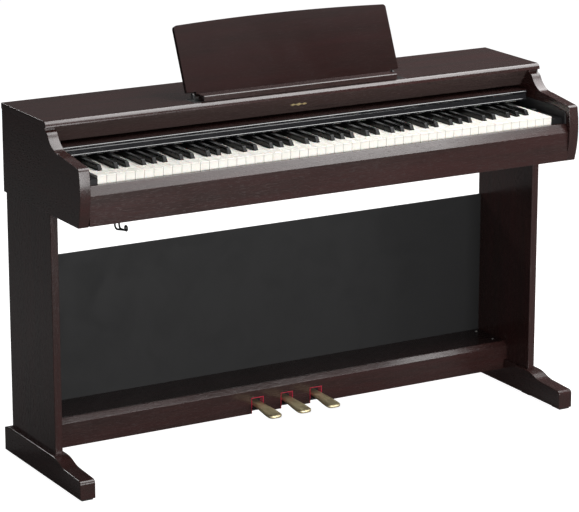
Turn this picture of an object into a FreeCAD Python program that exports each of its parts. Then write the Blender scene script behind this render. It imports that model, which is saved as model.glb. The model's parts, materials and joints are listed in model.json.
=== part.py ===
"""Digital piano on its stand, as separate named sub-parts.

Frame: +X to the player's right, +Y away from the player, +Z up, millimetres. The origin is the
middle of the footprint on the floor. In the outlines below a "depth" is measured from the plane of
the foremost point, so that every depth is positive; place() turns it into a Y coordinate.
"""
import FreeCAD, Part

import math
import os
import re

import Sketcher

Vector = FreeCAD.Vector
Rotation = FreeCAD.Rotation
EXACT = 1e-7

# Driving dimensions of the spreadsheet: alias, millimetres or degrees.
SIZES = {
    # whole instrument
    "overall_width": 1357.0,
    "overall_depth": 422.0,
    "top_height": 849.0,
    # cabinet shell
    "cabinet_width": 1338.0,
    "cheek_thickness": 26.0,
    "cheek_bottom": 638.0,
    "cheek_back": 410.5,
    "cheek_sole": 13.0,
    "cheek_brow": 5.0,
    "cheek_brow_height": 766.0,
    "cheek_belly_radius": 245.0,
    "cheek_corner": 8.5,
    "cheek_slope_end": 108.0,
    "cheek_slope_height": 787.0,
    "cheek_scoop_end": 164.0,
    "cheek_scoop_height": 820.0,
    "cheek_scoop_radius": 60.0,
    "cheek_neck": 177.0,
    "cheek_neck_height": 828.0,
    "cheek_neck_radius": 22.0,
    "top_thickness": 14.0,
    "top_overhang": 1.0,
    "top_front": 170.0,
    "top_nose": 13.0,
    "top_back": 411.0,
    "bed_bottom": 640.0,
    "bed_thickness": 16.0,
    "slip_front": 7.0,
    "slip_thickness": 20.0,
    "slip_top": 729.0,
    "slip_chamfer_depth": 12.0,
    "slip_chamfer_drop": 20.0,
    "fascia_foot": 214.0,
    "fascia_foot_height": 791.0,
    "fascia_head": 182.4,
    "fascia_thickness": 12.0,
    "cabinet_back_thickness": 5.0,
    "speaker_offset": 480.0,
    "speaker_depth": 345.0,
    "speaker_hole": 50.0,
    "speaker_rim": 60.0,
    "speaker_tall": 44.0,
    # key well
    "guide_thickness": 3.0,
    "guide_front": 17.0,
    "guide_nose_height": 750.0,
    "guide_shoulder": 27.0,
    "guide_shoulder_height": 759.0,
    "guide_crest": 72.0,
    "guide_crest_height": 766.0,
    "guide_back": 211.0,
    "block_front": 28.0,
    "block_back": 255.0,
    "block_top": 742.0,
    "block_gap": 1.0,
    "chassis_front": 36.0,
    "chassis_back": 280.0,
    "chassis_floor": 6.0,
    "stop_rail_back": 61.0,
    "stop_rail_top": 711.0,
    "pivot_rail_front": 233.0,
    "pivot_rail_back": 249.0,
    "pivot_rail_top": 724.0,
    "pivot_depth": 241.0,
    "pivot_height": 740.0,
    "pivot_rod": 2.0,
    "pivot_bore": 2.06,
    "pivot_rod_seat": 4.0,
    # keys
    "key_pitch": 23.5,
    "key_gap": 0.8,
    "white_front": 31.0,
    "white_top": 748.0,
    "white_tall": 22.0,
    "white_head": 40.0,
    "key_tail": 261.0,
    "black_slot": 13.2,
    "black_width": 11.4,
    "black_crown": 9.4,
    "black_front": 72.0,
    "black_top": 760.0,
    "black_tall": 28.0,
    "black_slope": 6.0,
    # key cover
    "cover_half": 629.0,
    "cover_front": 165.0,
    "cover_lip": 12.0,
    "cover_bottom": 762.0,
    "cover_top": 786.0,
    "cover_board_half": 636.0,
    "cover_board_thickness": 8.0,
    "cover_back": 365.0,
    "track_reach": 17.0,
    "track_front": 223.0,
    "track_back": 376.0,
    "track_bottom": 768.0,
    "track_gap": 0.5,
    # controls
    "control_depth": 131.0,
    "power_radius": 7.0,
    "power_bore": 7.4,
    "power_proud": 4.5,
    "button_sink": 10.0,
    "button_travel": 3.0,
    "lamp_radius": 1.6,
    "lamp_depth": 104.0,
    "lamp_proud": 1.2,
    "control_offset": 627.0,
    "slider_mid": 86.0,
    "slider_slot": 54.0,
    "slider_stem": 4.0,
    "slider_cap_wide": 11.0,
    "slider_cap_long": 9.0,
    "slider_cap_tall": 6.0,
    "voice_long": 14.0,
    "voice_wide": 8.0,
    "voice_gap": 0.4,
    # music rest
    "rest_half": 288.0,
    "rest_thickness": 11.0,
    "rest_lean": 23.3,
    "rest_pivot_depth": 219.0,
    "rest_pivot_height": 858.0,
    "rest_tail": 2.0,
    "rest_tall": 167.5,
    "rest_bow": 6.5,
    "rest_corner": 8.0,
    "rest_pin": 2.0,
    "rest_bore": 2.05,
    "rest_pin_reach": 12.0,
    "ledge_half": 262.0,
    "ledge_front": 180.0,
    "ledge_bottom": 850.2,
    "ledge_top": 863.0,
    "ledge_round": 3.0,
    "rail_half": 285.0,
    "rail_front": 184.0,
    "rail_back": 228.0,
    "rail_sink": 4.0,
    "rail_proud": 0.5,
    "notch_long": 24.0,
    "notch_rise": 8.0,
    "ear_gap": 6.0,
    "ear_thickness": 4.0,
    "ear_radius": 6.0,
    "ear_foot": 9.0,
    "stay_offset": 190.0,
    "stay_pivot": 70.0,
    "stay_sink": 2.5,
    "stay_long": 85.6,
    "stay_width": 10.0,
    "stay_thickness": 3.0,
    "stay_angle": 55.0,
    "stay_pin": 1.5,
    "stay_bore": 1.55,
    "recess_width": 14.0,
    "recess_sink": 6.0,
    # stand
    "leg_outer": 668.0,
    "leg_thickness": 19.0,
    "leg_front": 161.0,
    "leg_back": 398.0,
    "foot_inner": 640.0,
    "foot_height": 66.0,
    "foot_heel_height": 60.0,
    "foot_heel_slope": 23.0,
    "foot_front": 10.5,
    "foot_toe_round": 10.0,
    "foot_toe_height": 49.0,
    "foot_toe_back": 85.0,
    "foot_instep_height": 52.0,
    "foot_instep": 157.0,
    "foot_sole": 4.0,
    "foot_clearance": 0.5,
    "pad_inset": 5.0,
    "pad_front": 14.0,
    "pad_middle": 147.0,
    "pad_back": 383.0,
    "pad_long": 35.0,
    "edge_round": 2.0,
    "stretcher_half": 649.0,
    "pedal_box_front": 255.4,
    "pedal_box_bottom": 43.7,
    "pedal_box_top": 113.5,
    "pedal_box_thickness": 15.6,
    "pedal_box_chamfer": 11.4,
    "pedal_lid_thickness": 12.0,
    "pedal_lid_back": 398.0,
    "back_panel_front": 388.0,
    "back_panel_thickness": 5.0,
    "back_panel_top": 474.0,
    "slot_pitch": 82.0,
    "slot_width": 34.0,
    "slot_top": 84.0,
    "felt_thickness": 1.6,
    "felt_long": 17.2,
    "pedal_tip": 159.0,
    "pedal_heel": 371.0,
    "pedal_neck": 24.0,
    "pedal_toe": 38.0,
    "pedal_toe_start": 180.0,
    "pedal_toe_crown": 13.0,
    "pedal_pivot_depth": 351.0,
    "pedal_pivot_height": 67.0,
    "pedal_thickness": 8.0,
    "pedal_drop": 7.0,
    "pedal_shaft": 3.0,
    "pedal_bore": 3.06,
    "pedal_boss": 7.0,
    "tray_half": 215.0,
    "tray_front": 275.0,
    "tray_back": 393.0,
    "tray_floor": 3.0,
    "bracket_thickness": 4.0,
    "bracket_top": 78.0,
    "spring_radius": 6.0,
    "spring_wall": 1.5,
    "spring_clearance": 0.6,
    "adjuster_radius": 9.0,
    "adjuster_depth": 366.0,
    "screw_radius": 4.0,
    "screw_proud": 1.6,
    "screw_offset": 630.0,
    "screw_front": 294.0,
    "screw_back": 370.0,
    # hanger and sockets
    "hook_offset": 553.0,
    "hook_spread": 5.4,
    "hook_root": 55.0,
    "hook_drop": 26.0,
    "hook_reach": 40.0,
    "hook_rise": 6.0,
    "hook_bend": 11.0,
    "hook_wire": 2.2,
    "hook_eye": 5.4,
    "jack_box_width": 70.0,
    "jack_box_offset": 505.0,
    "jack_box_front": 66.0,
    "jack_box_long": 42.0,
    "jack_box_tall": 16.0,
    "jack_radius": 3.2,
    "jack_spacing": 32.0,
    "jack_deep": 30.0,
    "inlet_offset": 520.0,
    "inlet_width": 24.0,
    "inlet_back": 400.0,
    "inlet_long": 30.0,
    "inlet_tall": 14.0,
    "inlet_radius": 2.8,
    "inlet_deep": 10.0,
    "circuit_half": 200.0,
    "circuit_front": 311.0,
    "circuit_back": 391.0,
    "circuit_standoff": 8.0,
    "circuit_thickness": 1.6,
}

# Semitones of one octave from C: which are black, and the two runs of equal key tails.
BLACK_STEPS = (1, 3, 6, 8, 10)
LOWER_TAILS = 5
UPPER_TAILS = 7
WHITES_LOWER = 3
OCTAVE_WHITES = 7
OCTAVES = 7
FIRST_WHITES = 2      # A and B below the first C
ALL_WHITES = 52

doc = FreeCAD.newDocument("digital_piano")
sheet = doc.addObject("Spreadsheet::Sheet", "Sizes")
nodes = []


def fill_sheet():
    """Write every driving dimension into the sheet under its alias."""
    for row, (alias, size) in enumerate(SIZES.items(), start=1):
        sheet.set("A%d" % row, alias)
        sheet.set("B%d" % row, str(size))
        sheet.setAlias("B%d" % row, alias)
    doc.recompute()


def cells(expression):
    """Name the sheet in front of each alias of an expression."""
    def with_sheet(match):
        word = match.group(0)
        return "Sizes." + word if word in SIZES else word
    return re.sub(r"[a-z][a-z_]*", with_sheet, str(expression))


def value(expression):
    """Number that an expression of aliases gives now."""
    return float(sheet.evalExpression(cells(expression)))


def bind(thing, **properties):
    """Bind properties of an object to expressions of aliases."""
    for name, expression in properties.items():
        thing.setExpression(name, cells(expression))
    return thing


def place(thing, x, depth, z):
    """Bind an object's place: X, depth from the foremost plane, and height."""
    thing.setExpression("Placement.Base.x", cells(x))
    thing.setExpression("Placement.Base.y", cells("(%s) - overall_depth / 2" % depth))
    thing.setExpression("Placement.Base.z", cells(z))
    return thing


def node(thing, label):
    """Name a finished sub-part; its label is the name of its file."""
    thing.Label = label
    nodes.append(thing)
    return thing


def box(x, depth, z):
    """Box between (low, high) pairs of expressions along X, depth and Z."""
    block = doc.addObject("Part::Box", "block")
    bind(block,
         Length="(%s) - (%s)" % (x[1], x[0]),
         Width="(%s) - (%s)" % (depth[1], depth[0]),
         Height="(%s) - (%s)" % (z[1], z[0]))
    return place(block, x[0], depth[0], z[0])


def cylinder(radius, long, x, depth, z, along="z"):
    """Cylinder from a point along +X, +Y or +Z."""
    turns = {"x": Rotation(Vector(0, 1, 0), 90), "y": Rotation(Vector(1, 0, 0), -90), "z": Rotation()}
    rod = doc.addObject("Part::Cylinder", "rod")
    bind(rod, Radius=radius, Height=long)
    rod.Placement = FreeCAD.Placement(Vector(), turns[along])
    return place(rod, x, depth, z)


def compound(pieces):
    """Several solids in one object."""
    group = doc.addObject("Part::Compound", "group")
    group.Links = pieces
    return group


def fused(pieces):
    """One solid from several that touch."""
    fuse = doc.addObject("Part::MultiFuse", "fuse")
    fuse.Shapes = pieces
    return fuse


def cut(base, tools):
    """Base with every tool taken away."""
    result = doc.addObject("Part::Cut", "cut")
    result.Base = base
    result.Tool = tools[0] if len(tools) == 1 else compound(tools)
    return result


def arc_between(start, end, radius, turn):
    """Arc of a radius from start to end; turn is 1 anticlockwise and -1 clockwise."""
    chord = end - start
    middle = (start + end) * 0.5
    left = Vector(-chord.y, chord.x, 0).normalize()
    rise = math.sqrt(max(radius ** 2 - (chord.Length / 2) ** 2, 0.0))
    centre = middle + left * rise * turn
    first, last = (start, end) if turn > 0 else (end, start)
    angles = [math.atan2(p.y - centre.y, p.x - centre.x) for p in (first, last)]
    return Part.ArcOfCircle(Part.Circle(centre, Vector(0, 0, 1), radius), *angles)


def draw(sketch, outline):
    """Closed outline of (u, v) or (u, v, radius, turn) corners, anticlockwise, bound to the sheet.

    A corner with a radius starts an arc that runs to the next corner.
    """
    corners = [Vector(value(corner[0]), value(corner[1]), 0) for corner in outline]
    ends = []
    for number, corner in enumerate(outline):
        start = corners[number]
        end = corners[(number + 1) % len(corners)]
        if len(corner) == 4:
            sketch.addGeometry(arc_between(start, end, value(corner[2]), corner[3]), False)
            ends.append((1, 2) if corner[3] > 0 else (2, 1))
        else:
            sketch.addGeometry(Part.LineSegment(start, end), False)
            ends.append((1, 2))
    for number, corner in enumerate(outline):
        following = (number + 1) % len(outline)
        sketch.addConstraint(Sketcher.Constraint(
            "Coincident", number, ends[number][1], following, ends[following][0]))
    for number, corner in enumerate(outline):
        for axis, kind, size, expression in zip(
                (-2, -1), ("DistanceX", "DistanceY"), (corners[number].x, corners[number].y), corner):
            if abs(size) < EXACT:
                sketch.addConstraint(Sketcher.Constraint("PointOnObject", number, ends[number][0], axis))
                continue
            index = sketch.addConstraint(Sketcher.Constraint(kind, -1, 1, number, ends[number][0], size))
            sketch.setExpression("Constraints[%d]" % index, cells(expression))
        if len(corner) == 4:
            bind_arc(sketch, number, corner, corners[(number + 1) % len(outline)])


def bind_arc(sketch, number, corner, end):
    """Bind an arc's radius, or for a half circle the place of its centre across its chord."""
    start = Vector(value(corner[0]), value(corner[1]), 0)
    radius = value(corner[2])
    if abs((end - start).Length - 2 * radius) > EXACT:
        constraint = Sketcher.Constraint("Radius", number, radius)
        expression = corner[2]
    elif abs(end.x - start.x) < EXACT:
        constraint = Sketcher.Constraint("DistanceX", -1, 1, number, 3, start.x)
        expression = corner[0]
    else:
        constraint = Sketcher.Constraint("DistanceY", -1, 1, number, 3, start.y)
        expression = corner[1]
    index = sketch.addConstraint(constraint)
    sketch.setExpression("Constraints[%d]" % index, cells(expression))


def padded(plane, outline, long):
    """Body with one outline on an origin plane, padded along the plane's normal."""
    body = doc.addObject("PartDesign::Body", "body")
    sketch = body.newObject("Sketcher::SketchObject", "outline")
    face = [feature for feature in body.Origin.OriginFeatures if feature.Role == plane][0]
    sketch.AttachmentSupport = [(face, "")]
    sketch.MapMode = "FlatFace"
    draw(sketch, outline)
    pad = body.newObject("PartDesign::Pad", "pad")
    pad.Profile = sketch
    bind(pad, Length=long)
    sketch.Visibility = False
    return body


def profile(outline, x):
    """Side outline of (depth, height) corners, run along X between two expressions."""
    return place(padded("YZ_Plane", outline, "(%s) - (%s)" % (x[1], x[0])), x[0], "0", "0")


def rounded(body, chosen, radius):
    """Round the edges of a body that a test picks."""
    doc.recompute()
    base = body.Tip
    names = ["Edge%d" % (number + 1) for number, edge in enumerate(base.Shape.Edges) if chosen(edge)]
    fillet = body.newObject("PartDesign::Fillet", "round")
    fillet.Base = (base, names)
    bind(fillet, Radius=radius)
    return body


def mirrored(make, stem, offset_pair):
    """Make a left and a right sub-part from one function of an (inner, outer) X pair."""
    inner, outer = offset_pair
    node(make(("-(%s)" % outer, "-(%s)" % inner)), "left_" + stem)
    node(make((inner, outer)), "right_" + stem)


# ---------------------------------------------------------------- cabinet

INNER_HALF = "cabinet_width / 2 - cheek_thickness"
INSIDE = ("-(%s)" % INNER_HALF, INNER_HALF)
BED_TOP = "bed_bottom + bed_thickness"
TOP_UNDERSIDE = "top_height - top_thickness"


def cheek(x):
    """Side panel: bellied front, sloped arm rest, scoop and neck under the top board."""
    return profile([
        ("cheek_back", "cheek_bottom"),
        ("cheek_back", TOP_UNDERSIDE),
        ("cheek_neck", TOP_UNDERSIDE),
        ("cheek_neck", "cheek_neck_height", "cheek_neck_radius", 1),
        ("cheek_scoop_end", "cheek_scoop_height", "cheek_scoop_radius", -1),
        ("cheek_slope_end", "cheek_slope_height"),
        ("cheek_brow + cheek_corner", "cheek_brow_height + cheek_corner", "cheek_corner", 1),
        ("cheek_brow", "cheek_brow_height", "cheek_belly_radius", 1),
        ("cheek_sole", "cheek_bottom"),
    ], x)


def hinge_rail_pocket():
    """Room for the music rest's hinge rail in the top board."""
    return box(("-rail_half", "rail_half"), ("rail_front", "rail_back"),
               ("top_height - rail_sink", "top_height + 1"))


def top_board():
    """Lid of the cabinet with a rounded front edge and a pocket for the hinge rail."""
    half = "cabinet_width / 2 + top_overhang"
    board = profile([
        ("top_back", TOP_UNDERSIDE),
        ("top_back", "top_height"),
        ("top_front + top_nose", "top_height", "top_nose", 1),
        ("top_front", "top_height - top_nose"),
        ("top_front", TOP_UNDERSIDE),
    ], ("-(%s)" % half, half))
    return cut(board, [hinge_rail_pocket()])


def key_slip():
    """Board in front of the keys, chamfered at its upper front edge."""
    return profile([
        ("slip_front + slip_thickness", "bed_bottom"),
        ("slip_front + slip_thickness", "slip_top"),
        ("slip_front + slip_chamfer_depth", "slip_top"),
        ("slip_front", "slip_top - slip_chamfer_drop"),
        ("slip_front", "bed_bottom"),
    ], INSIDE)


def key_bed():
    """Floor of the cabinet with two round speaker openings."""
    board = box(INSIDE, ("slip_front + slip_thickness", "cheek_back - cabinet_back_thickness"),
                ("bed_bottom", BED_TOP))
    holes = [cylinder("speaker_hole", "bed_thickness + 2", side + "speaker_offset", "speaker_depth",
                      "bed_bottom - 1") for side in ("-", "")]
    return cut(board, holes)


def fascia():
    """Panel above the keys, leaning back towards its foot."""
    return profile([
        ("fascia_foot + fascia_thickness", "fascia_foot_height"),
        ("fascia_head + fascia_thickness", TOP_UNDERSIDE),
        ("fascia_head", TOP_UNDERSIDE),
        ("fascia_foot", "fascia_foot_height"),
    ], INSIDE)


def speaker(side):
    """Round loudspeaker over its opening: rim, basket and magnet."""
    x = side + "speaker_offset"
    rim = cylinder("speaker_rim", "3", x, "speaker_depth", BED_TOP)
    basket = doc.addObject("Part::Cone", "basket")
    bind(basket, Radius1="speaker_rim - 4", Radius2="speaker_rim / 2", Height="speaker_tall / 2")
    place(basket, x, "speaker_depth", BED_TOP + " + 3")
    magnet = cylinder("speaker_rim / 2 + 4", "speaker_tall / 2 - 3", x, "speaker_depth",
                      BED_TOP + " + 3 + speaker_tall / 2")
    return fused([rim, basket, magnet])


def circuit_board():
    """Main board on four stand-offs behind the keys."""
    board_bottom = BED_TOP + " + circuit_standoff"
    board = box(("-circuit_half", "circuit_half"), ("circuit_front", "circuit_back"),
                (board_bottom, board_bottom + " + circuit_thickness"))
    posts = [cylinder("3", "circuit_standoff", side + "(circuit_half - 8)", depth, BED_TOP)
             for side in ("-", "") for depth in ("circuit_front + 8", "circuit_back - 8")]
    chips = [box(("%d" % x, "%d" % (x + 22)), ("circuit_front + 30", "circuit_front + 52"),
                 (board_bottom + " + circuit_thickness", board_bottom + " + circuit_thickness + 3"))
             for x in (-120, -40, 60)]
    return fused([board] + posts + chips)


def make_cabinet():
    """Case panels, loudspeakers and electronics."""
    mirrored(cheek, "cheek", (INNER_HALF, "cabinet_width / 2"))
    node(top_board(), "top_board")
    node(key_slip(), "key_slip")
    node(key_bed(), "key_bed")
    node(fascia(), "upper_front_panel")
    node(box(INSIDE, ("cheek_back - cabinet_back_thickness", "cheek_back"),
             ("bed_bottom", TOP_UNDERSIDE)), "cabinet_back_panel")
    node(speaker("-"), "left_speaker")
    node(speaker(""), "right_speaker")
    node(circuit_board(), "circuit_board")


# ---------------------------------------------------------------- key well

def guide_plate(x):
    """Black liner on the inside of a cheek, under the path of the key cover's front rail."""
    return profile([
        ("guide_back", BED_TOP),
        ("guide_back", "guide_crest_height"),
        ("guide_crest", "guide_crest_height"),
        ("guide_shoulder", "guide_shoulder_height", "guide_shoulder_height - guide_nose_height + 1", 1),
        ("guide_front", "guide_nose_height"),
        ("guide_front", "slip_top"),
        ("block_front", "slip_top"),
        ("block_front", BED_TOP),
    ], x)


def cover_track(x):
    """Track that carries one side of the key cover's board."""
    return box(x, ("track_front", "track_back"),
               ("track_bottom", "cover_top - cover_board_thickness - track_gap"))


def block_span():
    """X pair of an end block, from the last key to the guide plate."""
    keys_half = "key_pitch * %d / 2" % ALL_WHITES
    return keys_half + " + block_gap", INNER_HALF + " - guide_thickness"


def pivot_cylinder(radius, reach):
    """Cylinder along the keys' pivot line, a reach past the last key at both ends."""
    half = "(key_pitch * %d / 2 + %s)" % (ALL_WHITES, reach)
    return cylinder(radius, half + " * 2", "-" + half, "pivot_depth", "pivot_height", "x")


def key_chassis():
    """Tray under the keys with the front stop rail and the rear rail, and the keys' pivot rod."""
    half = "key_pitch * %d / 2" % ALL_WHITES
    floor = BED_TOP + " + chassis_floor"
    tray = profile([
        ("chassis_back", BED_TOP),
        ("chassis_back", floor),
        ("pivot_rail_back", floor),
        ("pivot_rail_back", "pivot_rail_top"),
        ("pivot_rail_front", "pivot_rail_top"),
        ("pivot_rail_front", floor),
        ("stop_rail_back", floor),
        ("stop_rail_back", "stop_rail_top"),
        ("chassis_front", "stop_rail_top"),
        ("chassis_front", BED_TOP),
    ], ("-(%s)" % half, half))
    return compound([tray, pivot_cylinder("pivot_rod", "(block_gap + pivot_rod_seat)")])


def end_block(side, tools):
    """Black block beside the last key, with the openings of its controls."""
    inner, outer = block_span()
    span = ("-(%s)" % outer, "-(%s)" % inner) if side == "-" else (inner, outer)
    seat = pivot_cylinder("pivot_rod", "(block_gap + pivot_rod_seat)")
    return cut(box(span, ("block_front", "block_back"), (BED_TOP, "block_top")), tools + [seat])


def slot_in_block(wide, long, middle, sink):
    """Rectangular opening in the left end block around a depth."""
    return box(("-control_offset - (%s) / 2" % wide, "-control_offset + (%s) / 2" % wide),
               ("%s - (%s) / 2" % (middle, long), "%s + (%s) / 2" % (middle, long)),
               ("block_top - %s" % sink, "block_top + 1"))


def volume_slider():
    """Sliding knob: a stem in the slot and a cap above it."""
    stem = slot_in_block("slider_stem - 1", "slider_stem * 2", "slider_mid", "(button_sink - 2)")
    cap = box(("-control_offset - slider_cap_wide / 2", "-control_offset + slider_cap_wide / 2"),
              ("slider_mid - slider_cap_long / 2", "slider_mid + slider_cap_long / 2"),
              ("block_top + 1", "block_top + 1 + slider_cap_tall"))
    return fused([stem, cap])


def make_key_well():
    """Liners, tracks, end blocks with their controls, and the keyboard's chassis."""
    inner = INNER_HALF + " - guide_thickness"
    mirrored(guide_plate, "cover_guide", (inner, INNER_HALF))
    track = (INNER_HALF + " - track_reach", INNER_HALF)
    node(compound([cover_track(("-(%s)" % track[1], "-(%s)" % track[0])), cover_track(track)]),
         "cover_tracks")
    node(key_chassis(), "keyboard_chassis")
    power_seat = cylinder("power_bore", "button_sink + 1", "control_offset", "control_depth",
                          "block_top - button_sink")
    node(end_block("", [power_seat]), "right_end_block")
    slider_slot = slot_in_block("slider_stem", "slider_slot", "slider_mid", "button_sink")
    voice_slot = slot_in_block("voice_wide + voice_gap * 2", "voice_long + voice_gap * 2",
                               "control_depth", "button_sink")
    node(end_block("-", [slider_slot, voice_slot]), "left_end_block")
    rise = "button_sink - button_travel - 1 + power_proud"
    node(cylinder("power_radius", rise, "control_offset", "control_depth",
                  "block_top + power_proud - (%s)" % rise), "power_button")
    node(cylinder("lamp_radius", "lamp_proud", "control_offset", "lamp_depth", "block_top"),
         "power_lamp")
    node(volume_slider(), "volume_slider")
    node(box(("-control_offset - voice_wide / 2", "-control_offset + voice_wide / 2"),
             ("control_depth - voice_long / 2", "control_depth + voice_long / 2"),
             ("block_top - button_sink + button_travel + 1", "block_top + power_proud")),
         "voice_button")


# ---------------------------------------------------------------- keys

def white_left(index):
    """X of the left side of a white key, counted from 0 at the lowest."""
    return "key_pitch * (%d)" % (index - ALL_WHITES // 2)


def black_centre(octave, step):
    """X of a black key's centre: key tails are equal within C to E and within F to B."""
    first = FIRST_WHITES + octave * OCTAVE_WHITES
    if step < LOWER_TAILS:
        offset = WHITES_LOWER * (step + 0.5) / LOWER_TAILS
    else:
        uppers = OCTAVE_WHITES - WHITES_LOWER
        offset = WHITES_LOWER + uppers * (step - LOWER_TAILS + 0.5) / UPPER_TAILS
    return "key_pitch * (%r)" % (first - ALL_WHITES // 2 + offset)


def group_steps(octave):
    """Octave and step of each black key of a group; the first group has one more, below its C."""
    below = [(-1, BLACK_STEPS[-1])] if octave == 0 else []
    return below + [(octave, step) for step in BLACK_STEPS]


def group_whites(octave):
    """First white key of a group and the one after its last."""
    first = 0 if octave == 0 else FIRST_WHITES + octave * OCTAVE_WHITES
    last = ALL_WHITES if octave == OCTAVES - 1 else FIRST_WHITES + (octave + 1) * OCTAVE_WHITES
    return first, last


def white_group(octave):
    """White keys of one octave, cut apart and notched for the black keys between them."""
    first, last = group_whites(octave)
    span = ("white_top - white_tall", "white_top")
    reach = ("white_top - white_tall - 1", "white_top + 1")
    blank = box((white_left(first) + " + key_gap / 2", white_left(last) + " - key_gap / 2"),
                ("white_front", "key_tail"), span)
    tools = []
    for index in range(first + 1, last):
        side = white_left(index)
        tools.append(box((side + " - key_gap / 2", side + " + key_gap / 2"),
                         ("white_front - 1", "key_tail + 1"), reach))
    for group_octave, step in group_steps(octave):
        centre = black_centre(group_octave, step)
        tools.append(box((centre + " - black_slot / 2", centre + " + black_slot / 2"),
                         ("white_front + white_head", "key_tail + 1"), reach))
    return cut(blank, tools + [pivot_cylinder("pivot_bore", "0")])


def black_key(octave, step):
    """One black key: a wedge that narrows to its crown and slopes back at its front."""
    key = doc.addObject("Part::Wedge", "black_key")
    half = "black_width / 2"
    crown = "black_crown / 2"
    bind(key, Xmin="-(%s)" % half, Xmax=half, X2min="-(%s)" % crown, X2max=crown,
         Ymin="0", Ymax="black_tall",
         Zmin="0", Zmax="key_tail - black_front", Z2min="0", Z2max="key_tail - black_front - black_slope")
    key.Placement = FreeCAD.Placement(Vector(), Rotation(Vector(1, 0, 0), 90))
    return place(key, black_centre(octave, step), "key_tail", "black_top - black_tall")


def make_keys():
    """Seven groups of white keys and seven of black keys."""
    for octave in range(OCTAVES):
        node(white_group(octave), "white_keys_%d" % (octave + 1))
        blacks = compound([black_key(*octave_and_step) for octave_and_step in group_steps(octave)])
        node(cut(blacks, [pivot_cylinder("pivot_bore", "0")]), "black_keys_%d" % (octave + 1))


# ---------------------------------------------------------------- key cover

def make_cover():
    """Sliding cover: a board that runs back under the upper front panel, and its front rail."""
    node(box(("-cover_half", "cover_half"), ("cover_front", "cover_front + cover_lip"),
             ("cover_bottom", "cover_top")), "cover_rail")
    node(box(("-cover_board_half", "cover_board_half"), ("cover_front + cover_lip", "cover_back"),
             ("cover_top - cover_board_thickness", "cover_top")), "cover_board")


# ---------------------------------------------------------------- music rest

def on_rest(thing, x, along, out):
    """Bind a place on the leaning rest: along it from its pivot line, and out to its back."""
    thing.Placement = FreeCAD.Placement(Vector(), Rotation(Vector(1, 0, 0), -SIZES["rest_lean"]))
    return place(
        thing, x,
        "rest_pivot_depth + (%s) * sin(rest_lean) + (%s) * cos(rest_lean)" % (along, out),
        "rest_pivot_height + (%s) * cos(rest_lean) - (%s) * sin(rest_lean)" % (along, out))


def rest_cylinder(radius, long, x, along, out):
    """Cylinder along +X at a place on the leaning rest."""
    rod = doc.addObject("Part::Cylinder", "rod")
    bind(rod, Radius=radius, Height=long)
    on_rest(rod, x, along, out)
    rod.Placement = FreeCAD.Placement(Vector(), Rotation(Vector(0, 1, 0), 90))
    return rod


def stay_recess(side):
    """Recess in the back of the rest that the folded stay lies in, with its pin's bore."""
    middle = side + "stay_offset"
    recess = doc.addObject("Part::Box", "recess")
    bind(recess, Length="recess_width", Width="recess_sink + 1", Height="stay_long + 14")
    on_rest(recess, middle + " - recess_width / 2", "stay_pivot - 8",
            "rest_thickness / 2 - recess_sink")
    bore = rest_cylinder("stay_bore", "recess_width + 8", middle + " - recess_width / 2 - 4",
                         "stay_pivot", "stay_sink")
    return [recess, bore]


def hinge_notch(x):
    """Corner cut out of the rest's foot for an ear of the hinge rail."""
    notch = doc.addObject("Part::Box", "notch")
    bind(notch, Length="notch_long + 1", Width="rest_thickness + 2", Height="rest_tail + notch_rise + 1")
    return on_rest(notch, x, "-rest_tail - 1", "-rest_thickness / 2 - 1")


def rest_panel():
    """Leaning board with rounded upper corners, a gently bowed top edge and notched feet."""
    width = "rest_half * 2"
    top = "rest_tail + rest_tall"
    bow_radius = "(rest_half - rest_corner) ^ 2 / (2 * rest_bow) + rest_bow / 2"
    panel = padded("XZ_Plane", [
        ("0", "0"),
        (width, "0"),
        (width, top + " - rest_corner", "rest_corner", 1),
        (width + " - rest_corner", top, bow_radius, 1),
        ("rest_corner", top, "rest_corner", 1),
        ("0", top + " - rest_corner"),
    ], "rest_thickness")
    on_rest(panel, "-rest_half", "-rest_tail", "rest_thickness / 2")
    bores = [rest_cylinder("rest_bore", "rest_pin_reach + 2", x, "0", "0")
             for x in ("-rest_half + notch_long - 1", "rest_half - notch_long - rest_pin_reach - 1")]
    notches = [hinge_notch("-rest_half - 1"), hinge_notch("rest_half - notch_long")]
    return cut(panel, bores + notches + stay_recess("-") + stay_recess(""))


def rest_ledge():
    """Ledge that holds the sheet music, against the foot of the leaning panel."""
    slope = "tan(rest_lean)"
    face = "rest_pivot_depth - rest_thickness / 2 / cos(rest_lean)"
    return profile([
        ("%s + (ledge_bottom - rest_pivot_height) * %s" % (face, slope), "ledge_bottom"),
        ("%s + (ledge_top - rest_pivot_height) * %s" % (face, slope), "ledge_top"),
        ("ledge_front + ledge_round", "ledge_top", "ledge_round", 1),
        ("ledge_front", "ledge_top - ledge_round"),
        ("ledge_front", "ledge_bottom"),
    ], ("-ledge_half", "ledge_half"))


def hinge_ear(x):
    """Upright ear of the hinge rail with a round head about the pivot line."""
    foot = "top_height + rail_proud"
    return profile([
        ("rest_pivot_depth + ear_radius", foot),
        ("rest_pivot_depth + ear_radius", "rest_pivot_height", "ear_radius", 1),
        ("rest_pivot_depth - ear_radius", "rest_pivot_height"),
        ("rest_pivot_depth - ear_foot", foot),
    ], x)


def hinge_rail():
    """Rail let into the top board, with an ear and a pivot pin in each notch of the rest."""
    base = box(("-rail_half", "rail_half"), ("rail_front", "rail_back"),
               ("top_height - rail_sink", "top_height + rail_proud"))
    inner = "rest_half - notch_long + ear_gap"
    outer = inner + " + ear_thickness"
    pieces = [base, hinge_ear((inner, outer)), hinge_ear(("-(%s)" % outer, "-(%s)" % inner))]
    for start in ("rest_half - notch_long - rest_pin_reach", "-(%s)" % inner):
        pieces.append(cylinder("rest_pin", "rest_pin_reach + ear_gap", start,
                               "rest_pivot_depth", "rest_pivot_height", "x"))
    return fused(pieces)


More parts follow.
